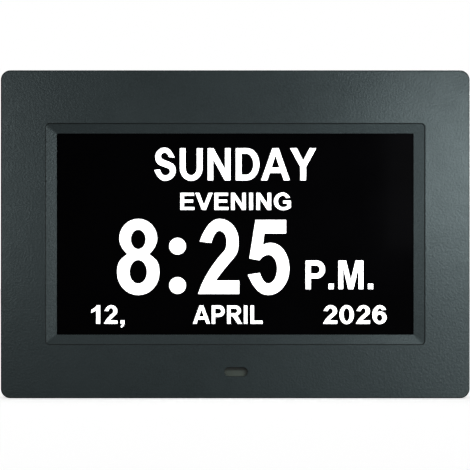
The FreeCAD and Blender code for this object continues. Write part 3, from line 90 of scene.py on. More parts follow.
class ShaderTree:
    """A node tree, with short ways to add its nodes and to join them."""

    def __init__(self, tree: bpy.types.NodeTree) -> None:
        """Takes the tree that the nodes go into."""
        self.tree = tree

    @classmethod
    def blank(cls, owner: bpy.types.Material | bpy.types.World) -> "ShaderTree":
        """Empties the tree of a material or a world.

        Args:
            owner: the material or the world.

        Returns:
            Its tree, ready for nodes.
        """
        owner.use_nodes = True
        owner.node_tree.nodes.clear()
        return cls(owner.node_tree)

    def add(self, kind: str, inputs: dict | None = None, **settings: object) -> bpy.types.Node:
        """Adds a node.

        Args:
            kind: the node's type, without the "ShaderNode" that most begin with.
            inputs: a value or an output socket for each named or numbered input.
            settings: the node's own properties.

        Returns:
            The new node.
        """
        plain = kind in ("GroupInput", "GroupOutput")
        node = self.tree.nodes.new("Node" + kind if plain else "ShaderNode" + kind)
        for name, value in settings.items():
            setattr(node, name, value)
        for name, value in (inputs or {}).items():
            self.feed(node.inputs[name], value)
        return node

    def feed(self, entry: Socket, value: object) -> None:
        """Gives an input its value, or joins it to the output that gives it.

        Args:
            entry: the input.
            value: a value or an output socket.
        """
        if isinstance(value, Socket):
            self.tree.links.new(value, entry)
        else:
            entry.default_value = value

    def math(self, operation: str, first: object, second: object = 0.0) -> Socket:
        """The result of one sum on two values or sockets."""
        return self.add("Math", {0: first, 1: second}, operation=operation).outputs[0]

    def noise(self, place: Socket, scale: float | Socket, detail: float = 3.0) -> Socket:
        """A value from 0 to 1 that wanders over the surface."""
        return self.add("TexNoise", {"Vector": place, "Scale": scale, "Detail": detail}).outputs["Fac"]

    def cells(self, place: Socket, scale: Socket, spread: float = 1.0, **settings: object) -> Socket:
        """The distance to the middle of the nearest of many scattered cells."""
        takes = {"Vector": place, "Scale": scale, "Randomness": spread}
        return self.add("TexVoronoi", takes, **settings).outputs["Distance"]

    def crossed_waves(self, place: Socket, scale: float | Socket, distortion: float = 0.0) -> list[Socket]:
        """Two sets of even bands, across X and across Z."""
        takes = {"Vector": place, "Scale": scale, "Distortion": distortion}
        return [self.add("TexWave", takes, bands_direction=way).outputs["Fac"] for way in ("X", "Z")]

    def ramp(self, value: Socket, low: float, high: float) -> Socket:
        """The value spread so that low becomes 0 and high becomes 1, with soft ends."""
        takes = {"Value": value, "From Min": low, "From Max": high}
        return self.add("MapRange", takes, interpolation_type="SMOOTHSTEP").outputs["Result"]

    def blend(self, share: object, first: object, second: object) -> Socket:
        """A colour between two colours or sockets."""
        return self.add("Mix", {0: share, 6: first, 7: second}, data_type="RGBA").outputs[2]


class Effect(Enum):
    """The surface effects that several finishes share, each made once as a node group."""

    GRAIN = "moulded_grain"
    STREAKS = "brushed_streaks"
    PORES = "open_pores"
    WEAVE = "paper_weave"
    DRIFT = "tone_drift"
    WEAR = "edge_wear"
    DUST = "settled_dust"
    TRACKS = "copper_tracks"


class EffectShop:
    """Makes each effect's node group when a finish first asks for it."""

    def __init__(self) -> None:
        """Starts with no group made."""
        self.made: dict[Effect, bpy.types.NodeTree] = {}

    def group(self, effect: Effect) -> bpy.types.NodeTree:
        """The effect's node group.

        Args:
            effect: which effect.

        Returns:
            Its node tree, the same one each time.
        """
        if effect not in self.made:
            tree = bpy.data.node_groups.new(effect.value, "ShaderNodeTree")
            self.made[effect] = tree
            getattr(self, "fill_" + effect.value)(tree)
        return self.made[effect]

    @staticmethod
    def begin(tree: bpy.types.NodeTree, takes: dict[str, float],
             gives: list[str]) -> tuple[ShaderTree, bpy.types.NodeOutputs]:
        """Gives a group its named inputs and outputs.

        Args:
            tree: the group's tree.
            takes: each input value's name and its usual value.
            gives: the output values' names.

        Returns:
            The tree, ready for nodes, and what the group is given, by name.
        """
        tree.interface.new_socket(name="Place", in_out="INPUT", socket_type="NodeSocketVector")
        for name, value in takes.items():
            socket = tree.interface.new_socket(name=name, in_out="INPUT", socket_type="NodeSocketFloat")
            socket.default_value = value
        for name in gives:
            tree.interface.new_socket(name=name, in_out="OUTPUT", socket_type="NodeSocketFloat")
        web = ShaderTree(tree)
        return web, web.add("GroupInput").outputs

    def fill_moulded_grain(self, tree: bpy.types.NodeTree) -> None:
        """The fine pebbled skin that a spark-eroded mould leaves, on broader and flatter waves.

        Args:
            tree: the group's empty tree.
        """
        web, given = self.begin(tree, {"Scale": 3000.0, "Waves": 1.0}, ["Height"])
        pebbles = web.cells(given["Place"], given["Scale"], feature="SMOOTH_F1")
        broad = web.math("MULTIPLY", given["Scale"], 0.35)
        raised = web.math("MULTIPLY", web.noise(given["Place"], broad), given["Waves"])
        web.add("GroupOutput", {"Height": web.math("ADD", pebbles, raised)})

    def fill_brushed_streaks(self, tree: bpy.types.NodeTree) -> None:
        """Long fine scratches along X, as rolling and brushing leave on sheet metal.

        Args:
            tree: the group's empty tree.
        """
        web, given = self.begin(tree, {"Scale": 2500.0}, ["Height"])
        stretched = web.add("Mapping", {"Vector": given["Place"], "Scale": (0.02, 1.0, 1.0)})
        web.add("GroupOutput", {"Height": web.noise(stretched.outputs[0], given["Scale"], detail=5.0)})

    def fill_open_pores(self, tree: bpy.types.NodeTree) -> None:
        """Small round pits of foam and sintered ferrite.

        Args:
            tree: the group's empty tree.
        """
        web, given = self.begin(tree, {"Scale": 1800.0}, ["Height"])
        pits = web.cells(given["Place"], given["Scale"])
        web.add("GroupOutput", {"Height": web.ramp(pits, 0.1, 0.6)})

    def fill_paper_weave(self, tree: bpy.types.NodeTree) -> None:
        """Crossed fibres of pressed paper.

        Args:
            tree: the group's empty tree.
        """
        web, given = self.begin(tree, {"Scale": 1200.0}, ["Height"])
        fibres = web.crossed_waves(given["Place"], given["Scale"], distortion=0.6)
        web.add("GroupOutput", {"Height": web.math("MAXIMUM", *fibres)})

    def fill_tone_drift(self, tree: bpy.types.NodeTree) -> None:
        """Broad uneven patches and fine flecks in the colour of the material itself.

        Args:
            tree: the group's empty tree.
        """
        web, given = self.begin(tree, {"Patch Scale": 30.0, "Fleck Scale": 2200.0}, ["Patches", "Flecks"])
        patches = web.noise(given["Place"], given["Patch Scale"])
        flecks = web.noise(given["Place"], given["Fleck Scale"], detail=2.0)
        web.add("GroupOutput", {"Patches": web.ramp(patches, 0.3, 0.7),
                                "Flecks": web.ramp(flecks, 0.35, 0.65)})

    def fill_edge_wear(self, tree: bpy.types.NodeTree) -> None:
        """A broken line of rubbed surface along the edges, and a normal that rounds them a little.

        Args:
            tree: the group's empty tree.
        """
        web, given = self.begin(tree, {"Radius": 0.0003, "Break Scale": 220.0}, ["Wear"])
        tree.interface.new_socket(name="Normal", in_out="OUTPUT", socket_type="NodeSocketVector")
        rounded = web.add("Bevel", {"Radius": given["Radius"]}, samples=6).outputs[0]
        true = web.add("NewGeometry").outputs["Normal"]
        facing = web.add("VectorMath", {0: rounded, 1: true}, operation="DOT_PRODUCT").outputs["Value"]
        edge = web.ramp(web.math("SUBTRACT", 1.0, facing), 0.01, 0.12)
        broken = web.ramp(web.noise(given["Place"], given["Break Scale"], detail=4.0), 0.4, 0.62)
        web.add("GroupOutput", {"Wear": web.math("MULTIPLY", edge, broken), "Normal": rounded})

    def fill_settled_dust(self, tree: bpy.types.NodeTree) -> None:
        """Thin dust on the faces that look up, in soft patches.

        Args:
            tree: the group's empty tree.
        """
        web, given = self.begin(tree, {"Patch Scale": 90.0}, ["Dust"])
        normal = web.add("NewGeometry").outputs["Normal"]
        upward = web.ramp(web.add("SeparateXYZ", {0: normal}).outputs["Z"], 0.5, 1.0)
        patches = web.ramp(web.noise(given["Place"], given["Patch Scale"], detail=5.0), 0.35, 0.7)
        web.add("GroupOutput", {"Dust": web.math("MULTIPLY", upward, patches)})

    def fill_copper_tracks(self, tree: bpy.types.NodeTree) -> None:
        """Straight copper tracks in two directions under the solder mask.

        Args:
            tree: the group's empty tree.
        """
        web, given = self.begin(tree, {"Scale": 260.0}, ["Tracks"])
        second, nearest = (
            web.cells(given["Place"], given["Scale"], 0.8, distance="CHEBYCHEV", feature=feature)
            for feature in ("F2", "F1"))
        web.add("GroupOutput", {"Tracks": web.ramp(web.math("SUBTRACT", second, nearest), 0.14, 0.06)})


EFFECTS = EffectShop()


# ---------------------------------------------------------------- finishes

@dataclass(frozen=True)
class Finish:
    """How one material of the clock is coloured, how rough it is and how it has aged.

    Attributes:
        name: the material's name.
        colour: its own colour, as linear red, green and blue.
        rough: how rough it is, from 0 to 1.
        rough_spread: how far the roughness wanders.
        metal: 1 for a metal.
        gloss: how strongly it mirrors at right angles, 0.5 for a common plastic.
        relief: the effect that gives its skin, or none.
        relief_scale: how fine that skin is.
        relief_depth: how deep it is, in metres.
        waves: how much higher the broad waves of a moulded grain are than its pebbles.
        drift: how far its tone wanders.
        flecks: how strongly fine paler flecks show in it.
        wear: how much lighter its rubbed edges are.
        edge: how far its edges are rounded, in metres.
        dust: how much dust lies on its upper faces.
        coat: a clear coat's weight.
        clear: how much light goes through it.
        sheen: the tint of what it mirrors.

    FLECK_TONE is how many times as light a fleck is as the colour, RUBBED_SHARE how much of a rubbed edge's
    paler colour shows, RUBBED_POLISH how its wear alters its roughness, WANDER_SCALE how fine the patches
    are in which the roughness wanders, and DUST_COLOUR the colour of dust.
    """

    name: str
    colour: Colour
    rough: float = 0.5
    rough_spread: float = 0.08
    metal: float = 0.0
    gloss: float = 0.5
    relief: Effect | None = Effect.GRAIN
    relief_scale: float = 3000.0
    relief_depth: float = 0.00001
    waves: float = 1.0
    drift: float = 0.12
    flecks: float = 0.12
    wear: float = 0.15
    edge: float = 0.00012
    dust: float = 0.0
    coat: float = 0.0
    clear: float = 0.0
    sheen: Colour = (1.0, 1.0, 1.0)

    FLECK_TONE = 1.5
    RUBBED_SHARE = 0.7
    RUBBED_POLISH = -0.8
    WANDER_SCALE = 140.0
    DUST_COLOUR = (0.42, 0.4, 0.37, 1.0)

    def tone(self, factor: float) -> tuple[float, float, float, float]:
        """The colour made lighter or darker by a factor."""
        red, green, blue = (min(1.0, part * factor) for part in self.colour)
        return (red, green, blue, 1.0)

    def place(self, web: ShaderTree) -> Socket:
        """The coordinates that every pattern of the finish lies on."""
        return web.add("TexCoord").outputs["Object"]

    def base_colour(self, web: ShaderTree, place: Socket, wear: Socket) -> Socket:
        """The colour with its drift, its rubbed edges and its dust.

        Args:
            web: the material's tree.
            place: the pattern coordinates.
            wear: the mask of the rubbed edges.

        Returns:
            The colour socket.
        """
        drift = web.add("Group", {"Place": place}, node_tree=EFFECTS.group(Effect.DRIFT))
        patched = web.blend(drift.outputs["Patches"], self.tone(1 - self.drift), self.tone(1 + self.drift))
        fleck = web.math("MULTIPLY", drift.outputs["Flecks"], self.flecks)
        flecked = web.blend(fleck, patched, self.tone(self.FLECK_TONE))
        pale = tuple(part + self.wear * (1 - part) for part in self.colour) + (1.0,)
        worn = web.blend(web.math("MULTIPLY", wear, self.RUBBED_SHARE), flecked, pale)
        if not self.dust:
            return worn
        settled = web.add("Group", {"Place": place}, node_tree=EFFECTS.group(Effect.DUST))
        return web.blend(web.math("MULTIPLY", settled.outputs["Dust"], self.dust), worn, self.DUST_COLOUR)

    def material(self) -> bpy.types.Material:
        """Makes the finish's material.

        Returns:
            A material with its own principled shader.
        """
        made = bpy.data.materials.new(self.name)
        web = ShaderTree.blank(made)
        place = self.place(web)
        wear = web.add("Group", {"Place": place, "Radius": self.edge}, node_tree=EFFECTS.group(Effect.WEAR))
        wander = web.ramp(web.noise(place, self.WANDER_SCALE), 0.25, 0.75)
        swing = web.math("MULTIPLY", web.math("SUBTRACT", wander, 0.5), self.rough_spread)
        polish = web.math("MULTIPLY", wear.outputs["Wear"], self.RUBBED_POLISH * self.wear * (1 - self.metal))
        rough = web.math("ADD", web.math("ADD", swing, self.rough), polish)
        shader = web.add("BsdfPrincipled", {
            "Base Color": self.base_colour(web, place, wear.outputs["Wear"]), "Roughness": rough,
            "Normal": self.skin(web, place, wear.outputs["Normal"]), "Metallic": self.metal,
            "Specular IOR Level": self.gloss, "Specular Tint": (*self.sheen, 1.0), "Coat Weight": self.coat,
            "Transmission Weight": self.clear})
        self.light(web, place, shader)
        web.add("OutputMaterial", {"Surface": shader.outputs[0]})
        return made

    def skin(self, web: ShaderTree, place: Socket, normal: Socket) -> Socket:
        """The normal with the finish's relief on it.

        Args:
            web: the material's tree.
            place: the pattern coordinates.
            normal: the rounded normal.

        Returns:
            The normal socket.
        """
        if self.relief is None:
            return normal
        takes = {"Place": place, "Scale": self.relief_scale}
        if self.relief is Effect.GRAIN:
            takes["Waves"] = self.waves
        relief = web.add("Group", takes, node_tree=EFFECTS.group(self.relief))
        bump = web.add("Bump", {"Height": relief.outputs["Height"], "Distance": self.relief_depth,
                                "Strength": 1.0, "Normal": normal})
        return bump.outputs[0]

    def light(self, web: ShaderTree, place: Socket, shader: bpy.types.Node) -> None:
        """A common finish gives no light of its own."""


@dataclass(frozen=True)
class BoardFinish(Finish):
    """Solder mask over copper tracks.

    Attributes:
        track: the mask's colour over a track.
    """

    track: Colour = (0.05, 0.3, 0.12)

    def base_colour(self, web: ShaderTree, place: Socket, wear: Socket) -> Socket:
        """The solder mask's colour, lighter over the tracks.

        Args:
            web: the material's tree.
            place: the pattern coordinates.
            wear: the mask of the rubbed edges.

        Returns:
            The colour socket.
        """
        plain = super().base_colour(web, place, wear)
        tracks = web.add("Group", {"Place": place}, node_tree=EFFECTS.group(Effect.TRACKS))
        return web.blend(tracks.outputs["Tracks"], plain, (*self.track, 1.0))


@dataclass(frozen=True)
class MetalFinish(Finish):
    """Bare or plated metal with the fine streaks of its rolling."""

    metal: float = 1.0
    relief: Effect | None = Effect.STREAKS
    relief_depth: float = 0.000003


@dataclass(frozen=True)
class LitFinish(Finish):
    """White dots of the display with the lamps behind them, a little uneven, as a back light is.

    Attributes:
        strength: how bright the dots are, where 1 is white.
        dot_pitch: how far apart they stand, in metres.

    BAND_UNIT is how far apart the bands of a wave pattern stand at a scale of 1, in metres. DIM_COLOUR and
    FULL_COLOUR are the light's colours where it is weak and where it is full.
    """

    strength: float = 1.05
    dot_pitch: float = 0.000173

    BAND_UNIT = 0.314
    DIM_COLOUR = (0.94, 0.96, 1.0, 1.0)
    FULL_COLOUR = (1.0, 1.0, 0.99, 1.0)

    def light(self, web: ShaderTree, place: Socket, shader: bpy.types.Node) -> None:
        """Gives the shader its light.

        Args:
            web: the material's tree.
            place: the pattern coordinates.
            shader: the principled shader.
        """
        cloud = web.ramp(web.noise(place, 25.0), 0.3, 0.7)
        dots = web.crossed_waves(place, self.BAND_UNIT / self.dot_pitch)
        gaps = web.math("MULTIPLY", web.math("MINIMUM", *dots), 0.5)
        shade = web.math("ADD", web.math("MULTIPLY", cloud, 0.5), gaps)
        colour = web.blend(shade, self.DIM_COLOUR, self.FULL_COLOUR)
        web.feed(shader.inputs["Emission Color"], colour)
        shader.inputs["Emission Strength"].default_value = self.strength


@dataclass(frozen=True)
class CaseFinish(Finish):
    """Moulded case plastic, with painted shade in the seam of its halves and in the low step round the
    screen.

    Attributes:
        seam_y: where the two halves meet.
        seam_half: half the width of the painted shade line in the seam.
        step_y: where the step round the screen begins, and the case's front edge with it.
        step_end: where they end.

    PAINTED_SHADE_COLOUR is the colour of the painted shade in both lines.
    """

    seam_y: float = -0.001
    seam_half: float = 0.00012
    step_y: float = -0.01196
    step_end: float = -0.01148

    PAINTED_SHADE_COLOUR = (0.002, 0.0025, 0.0025, 1.0)

    def base_colour(self, web: ShaderTree, place: Socket, wear: Socket) -> Socket:
        """The plastic's colour, with painted shade in both lines.

        Args:
            web: the material's tree.
            place: the pattern coordinates.
            wear: the mask of the rubbed edges.

        Returns:
            The colour socket.
        """
        plain = super().base_colour(web, place, wear)
        depth = web.add("SeparateXYZ", {0: place}).outputs["Y"]
        away = web.math("ABSOLUTE", web.math("SUBTRACT", depth, self.seam_y))
        # painted shade: a dark line along the seam where the two halves meet
        seam_shade = web.ramp(away, self.seam_half * 1.6, self.seam_half * 0.6)
        # painted shade: a dark band in the low step round the screen, which also lies on the case's front
        # edge
        step_shade_begun = web.ramp(depth, self.step_y, self.step_y + self.seam_half)
        step_shade = web.math("MULTIPLY", step_shade_begun, web.ramp(depth, self.step_end + self.seam_half / 2, self.step_end))
        return web.blend(web.math("MAXIMUM", seam_shade, step_shade), plain, self.PAINTED_SHADE_COLOUR)


@dataclass(frozen=True)
class LensFinish(Finish):
    """Smoked acrylic, darker high up with painted shade from the upper rim of its slot.

    Attributes:
        shade: the colour of the painted shade high up.
        pale_to: the height up to which it is free of painted shade, in metres.
        dark_from: the height from which the painted shade is full.
    """

    shade: Colour = (0.012, 0.014, 0.0125)
    pale_to: float = 0.0134
    dark_from: float = 0.0142

    def base_colour(self, web: ShaderTree, place: Socket, wear: Socket) -> Socket:
        """The acrylic's colour, with painted shade high up.

        Args:
            web: the material's tree.
            place: the pattern coordinates.
            wear: the mask of the rubbed edges.

        Returns:
            The colour socket.
        """
        plain = super().base_colour(web, place, wear)
        height = web.add("SeparateXYZ", {0: place}).outputs["Z"]
        # painted shade: the lens turns darker above pale_to, as the upper rim of its slot would shade it
        return web.blend(web.ramp(height, self.pale_to, self.dark_from), plain, (*self.shade, 1.0))


FINISHES: dict[str, Finish] = {
    "case_plastic": CaseFinish("satin_case_plastic", (0.0085, 0.0113, 0.0119), rough=0.34, gloss=0.1,
                               relief_scale=2600.0, relief_depth=0.00002, waves=7.0, drift=0.12, wear=0.003,
                               edge=0.00012, dust=0.004, flecks=0.8, sheen=(0.8, 0.98, 1.0)),
    "key_plastic": Finish("satin_key_plastic", (0.021, 0.027, 0.029), rough=0.42, gloss=0.2,
                          relief_depth=0.000006, wear=0.1),
    "plunger_plastic": Finish("red_plunger_plastic", (0.3, 0.02, 0.015), rough=0.38),
    "soft_rubber": Finish("soft_black_rubber", (0.013, 0.013, 0.014), rough=0.75, relief_depth=0.00002,
                          relief_scale=2000.0, gloss=0.3, wear=0.06, dust=0.1),
    "screen_front": Finish("display_front_film", (0.0004, 0.0004, 0.0005), rough=0.16, rough_spread=0.03,
                           gloss=0.002, relief_scale=6000.0, relief_depth=0.0000004, drift=0.2, wear=0.0,
                           edge=0.00002),
    "cell_glass": Finish("cell_glass_edge", (0.01, 0.014, 0.013), rough=0.08, relief=None, gloss=0.5,
                         wear=0.02, clear=0.3),
    "smoked_lens": LensFinish("smoked_lens_acrylic", (0.0262, 0.0322, 0.0278), rough=0.12, rough_spread=0.03,
                              gloss=0.12, relief_scale=900.0, relief_depth=0.000003, drift=0.25, wear=0.02),
    "foam": Finish("gasket_foam", (0.02, 0.02, 0.02), rough=0.9, relief=Effect.PORES, relief_depth=0.00004,
                   gloss=0.2),
    "optical_film": Finish("white_optical_film", (0.75, 0.76, 0.78), rough=0.35, relief_depth=0.000002,
                           drift=0.04),
    "clear_acrylic": Finish("light_guide_acrylic", (0.7, 0.75, 0.77), rough=0.1, relief_depth=0.000001,
                            clear=0.6, drift=0.03),
    "white_plastic": Finish("white_frame_plastic", (0.66, 0.65, 0.6), rough=0.45, drift=0.05, wear=0.1),
    "pressed_steel": MetalFinish("zinc_plated_steel", (0.5, 0.51, 0.52), rough=0.32, relief_depth=0.000004),
    "screw_steel": MetalFinish("black_zinc_screw", (0.09, 0.09, 0.095), rough=0.33, wear=0.35, edge=0.00008),
    "circuit_board": BoardFinish("green_solder_mask", (0.012, 0.09, 0.035), rough=0.3, coat=0.4,
                                 relief_depth=0.000003),
    "lamp_board": BoardFinish("white_solder_mask", (0.7, 0.7, 0.68), rough=0.4, track=(0.62, 0.62, 0.6)),
    "lamp_body": Finish("phosphor_lamp", (0.8, 0.68, 0.2), rough=0.3, relief_depth=0.000003),
    "chip_black": Finish("moulded_chip", (0.014, 0.014, 0.015), rough=0.55, relief_depth=0.000008),
    "ferrite": Finish("wound_ferrite", (0.035, 0.035, 0.038), rough=0.6, relief=Effect.PORES,
                      relief_depth=0.00002, wear=0.2),
    "jack_plastic": Finish("jack_plastic", (0.01, 0.01, 0.011), rough=0.4, relief_depth=0.000005),
    "contact_metal": MetalFinish("nickel_contact", (0.6, 0.56, 0.48), rough=0.2, relief_depth=0.000002,
                                 edge=0.00005),
    "can_metal": MetalFinish("aluminium_can", (0.66, 0.67, 0.68), rough=0.28),
    "flex_amber": Finish("amber_flex_film", (0.4, 0.17, 0.02), rough=0.25, relief_depth=0.000002, coat=0.3),
    "switch_steel": MetalFinish("stamped_switch_steel", (0.45, 0.46, 0.47), rough=0.34),
    "cell_steel": MetalFinish("polished_cell_steel", (0.7, 0.71, 0.73), rough=0.14, relief_depth=0.000001),
    "basket_steel": Finish("black_basket_paint", (0.02, 0.02, 0.022), rough=0.36, relief_depth=0.000006,
                           coat=0.3, wear=0.15),
    "cone_paper": Finish("pressed_cone_paper", (0.022, 0.021, 0.02), rough=0.85, relief=Effect.WEAVE,
                         relief_depth=0.00003, relief_scale=900.0, gloss=0.2),
    "lead_sheath": Finish("lead_sheath", (0.03, 0.03, 0.03), rough=0.5, relief_depth=0.000006),
}


class Paint:
    """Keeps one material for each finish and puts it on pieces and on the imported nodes."""

    def __init__(self) -> None:
        """Starts with no material made."""
        self.made: dict[str, bpy.types.Material] = {}

    def of(self, finish: Finish) -> bpy.types.Material:
        """The finish's material, made the first time it is asked for.

        Args:
            finish: the finish.

        Returns:
            Its material, the same one each time.
        """
        if finish.name not in self.made:
            self.made[finish.name] = finish.material()
        return self.made[finish.name]

    def dress_node(self, node: str, slot: str) -> None:
        """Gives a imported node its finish, in every slot of its mesh.

        Args:
            node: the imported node's name.
            slot: the record's material slot that it takes its finish from.
        """
        piece = frame["nodes"][node]
        material = self.of(FINISHES[slot])
        for number in range(len(piece.data.materials)):
            piece.data.materials[number] = material
        LOG.info("dressed %s in %s", node, material.name)


PAINT = Paint()


# ---------------------------------------------------------------- making pieces

def placed(name: str, data: bpy.types.ID) -> bpy.types.Object:
    """Makes an object of some data and adds it to the scene.

    Args:
        name: the object's name.
        data: its mesh, curve, lamp or camera.

    Returns:
        The new object.
    """
    thing = bpy.data.objects.new(name, data)
    bpy.context.scene.collection.objects.link(thing)
    return thing


def mesh_of(name: str, shape: Shape, material: bpy.types.Material) -> bpy.types.Object:
    """Makes a shape an object of one material.

    Args:
        name: the object's name.
        shape: its shape, which is freed here.
        material: its material.

    Returns:
        The new object.
    """
    mesh = bpy.data.meshes.new(name)
    shape.to_mesh(mesh)
    shape.free()
    mesh.materials.append(material)
    return placed(name, mesh)


def finished_piece(name: str, shape: Shape, body: str, slot: str,
                   finish: Finish | None = None) -> bpy.types.Object:
    """Turns a shape into a piece that rides on a body.

    Args:
        name: the piece's name.
        shape: its shape, in place, in metres; it is freed here.
        body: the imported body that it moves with.
        slot: the record's material slot that it takes its finish from.
        finish: its own finish, where that isn't the slot's.

    Returns:
        The new object.
    """
    bmesh.ops.recalc_face_normals(shape, faces=shape.faces)
    piece = mesh_of(name, shape, PAINT.of(finish or FINISHES[slot]))
    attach(piece, body)
    LOG.info("built %s on %s with %d faces", name, body, len(piece.data.polygons))
    return piece


def smooth_faces(shape: Shape, limit: float = math.radians(32)) -> None:
    """Shades a shape smooth, except across its sharper edges.

    Args:
        shape: the shape.
        limit: the turn, in radians, past which an edge stays sharp.
    """
    for face in shape.faces:
        face.smooth = True
    for edge in shape.edges:
        if edge.is_manifold and edge.calc_face_angle(0.0) > limit:
            edge.smooth = False


def flat_oblong(shape: Shape, centre: Vector, half_long: float, half_tall: float,
                sides: int = 64) -> list[bmesh.types.BMVert]:
    """Adds a flat face with two round ends, looking along Y.

    Args:
        shape: the shape that the face goes into.
        centre: its middle.
        half_long: half its length along X.
        half_tall: half its height along Z, which is also the radius of its ends.
        sides: how many sides both ends have together.

    Returns:
        The new vertices.
    """
    made = bmesh.ops.create_circle(shape, cap_ends=True, radius=half_tall, segments=sides)["verts"]
    bmesh.ops.rotate(shape, verts=made, cent=(0, 0, 0), matrix=Matrix.Rotation(math.radians(90), 3, "X"))
    reach = half_long - half_tall
    for vertex in made:
        vertex.co.x += math.copysign(reach, vertex.co.x) if abs(vertex.co.x) > 1e-7 else 0.0
    bmesh.ops.translate(shape, verts=made, vec=centre)
    return made


# ---------------------------------------------------------------- the display

@dataclass(frozen=True)
class Glyph:
    """The outline of one character, where its capitals are 100 units tall.

    Attributes:
        wide: its width.
        before: the free room at its left.
        after: the free room at its right.
        loops: its closed outlines, the holes among them. A knot is (x, y) at a corner, and
            (x, y, slope) on a smooth stretch, with the slope of the outline there in degrees.
    """

    wide: float
    before: float
    after: float
    loops: tuple[tuple[tuple[float, ...], ...], ...]


GLYPHS: dict[str, Glyph] = {
    "A": Glyph(101, 0.5, 0.5, (
        ((0, 0), (21.5, 0), (30, 23), (71, 23), (79.5, 0), (101, 0), (61.5, 100), (39.5, 100)),
        ((36, 39.5), (65, 39.5), (50.5, 78)))),
    "D": Glyph(83, 9.5, 6, (
        ((0, 0), (40, 0, 0), (83, 50, 90), (40, 100, 0), (0, 100)),
        ((20, 17), (37, 17, 0), (62, 50, 90), (37, 83, 0), (20, 83)))),
    "E": Glyph(76, 9.5, 5, (
        ((0, 0), (76, 0), (76, 17), (20, 17), (20, 43), (69, 43), (69, 60), (20, 60), (20, 83), (74, 83),
         (74, 100), (0, 100)),)),
    "G": Glyph(92, 6, 8, (
        ((88, 73), (48, 101.7, 0), (0, 50, 90), (49, -1.7, 0), (92, 14), (92, 54), (50, 54), (50, 38),
         (72, 38), (72, 23.5), (50, 15.5, 0), (21.5, 50, 90), (48, 84.5, 0), (67.5, 69)),)),
    "I": Glyph(20, 9.5, 9.5, (((0, 0), (20, 0), (20, 100), (0, 100)),)),
    "L": Glyph(71, 9.5, 3, (((0, 0), (71, 0), (71, 17), (20, 17), (20, 100), (0, 100)),)),
    "M": Glyph(98, 9.5, 9.5, (
        ((0, 0), (18.5, 0), (18.5, 78), (39, 0), (59, 0), (79.5, 78), (79.5, 0), (98, 0), (98, 100),
         (68, 100), (49, 30), (30, 100), (0, 100)),)),
    "N": Glyph(80, 9.5, 9.5, (
        ((0, 0), (19, 0), (19, 66), (60, 0), (80, 0), (80, 100), (61, 100), (61, 34), (20, 100), (0, 100)),)),
    "P": Glyph(76, 9.5, 5, (
        ((0, 0), (20, 0), (20, 37.5), (43, 37.5, 0), (76, 69, 90), (44, 100, 0), (0, 100)),
        ((20, 54.5), (39, 54.5, 0), (55.5, 69, 90), (39, 83.5, 0), (20, 83.5)))),
    "R": Glyph(88, 9.5, 1, (
        ((0, 0), (20, 0), (20, 41.5), (32, 41.5), (63, 0), (88, 0), (59, 44.5), (81, 71, 90), (47, 100, 0),
         (0, 100)),
        ((20, 57.5), (43, 57.5, 0), (60, 70.5, 90), (43, 83.5, 0), (20, 83.5)))),
    "S": Glyph(76, 5.5, 5.5, (
        ((72, 71), (37.5, 101.7, 0), (4, 73, 90), (30, 43.5, -17), (56, 28, 90), (38, 15, 0), (20, 34),
         (0, 32), (38, -1.7, 0), (76, 30, 90), (47, 59.5, -17), (24, 74.5, 90), (37, 86.5, 0), (52, 72.5)),)),
    "U": Glyph(80, 9, 9, (
        ((0, 100), (0, 38, 90), (40, -1.7, 0), (80, 38, 90), (80, 100), (60, 100), (60, 38, 90),
         (40, 15.5, 0), (20, 38, 90), (20, 100)),)),
    "V": Glyph(94, 0.5, 0.5, (
        ((36, 0), (57.5, 0), (94, 100), (72.5, 100), (47, 27), (21.5, 100), (0, 100)),)),
    "Y": Glyph(92, 0.5, 0.5, (
        ((36, 0), (56, 0), (56, 42), (92, 100), (69, 100), (46, 61), (23.5, 100), (0, 100), (36, 42)),)),
    "0": Glyph(68, 5, 5, (
        ((34, -1.5, 0), (68, 50, 90), (34, 101.5, 0), (0, 50, 90)),
        ((34, 14, 0), (49, 50, 90), (34, 86, 0), (19, 50, 90)))),
    "1": Glyph(46, 8, 14, (
        ((26.5, 0), (46, 0), (46, 101), (30, 101), (17, 86, 42), (2, 77), (2, 59.5), (26.5, 72.5)),)),
    "2": Glyph(67, 5, 6, (
        ((0, 0), (67, 0), (67, 18), (28.5, 18), (47, 38, 45), (66, 71.5, 90), (35, 101.5, 0), (2.5, 71),
         (21.5, 69), (34.5, 85.5, 0), (46.5, 71, 90), (33, 49, 46)),)),
    "5": Glyph(68, 5.5, 5, (
        ((12.5, 100), (62.5, 100), (62.5, 82), (27, 82), (24.5, 66), (38, 69, 0), (68, 34, 90),
         (33, -1.5, 0), (0, 26), (19.5, 28.5), (33, 14, 0), (48, 34, 90), (34, 53, 0), (19, 45.5),
         (2.5, 48)),)),
    "6": Glyph(67.5, 5, 5, (
        ((34.5, -1.5, 0), (67.5, 33, 90), (38, 66.5, 0), (20, 58.5), (36.5, 86, 0), (46, 74.5), (65, 76.5),
         (37, 101.5, 0), (0, 48, 90)),
        ((34.5, 14, 0), (48, 32, 90), (34.5, 51.5, 0), (20.5, 33, 90)))),
    "8": Glyph(68, 5, 5, (
        ((34, -1.5, 0), (68, 28.5, 90), (51, 54, 150), (64.5, 75, 90), (34, 101.5, 0), (3.5, 75, 90),
         (17, 54, 30), (0, 28.5, 90)),
        ((34, 60.5, 0), (46, 74, 90), (34, 87, 0), (22, 74, 90)),
        ((34, 14, 0), (48, 29.5, 90), (34, 46, 0), (20, 29.5, 90)))),
    ".": Glyph(20, 9, 9, (((0, 0), (20, 0), (20, 19), (0, 19)),)),
    ",": Glyph(20, 9, 9, (((0, 0), (0, 19), (20, 19), (20, 5), (15, -11.5, 60), (4.5, -21), (0.5, -13.5),
                           (10, 0)),)),
}


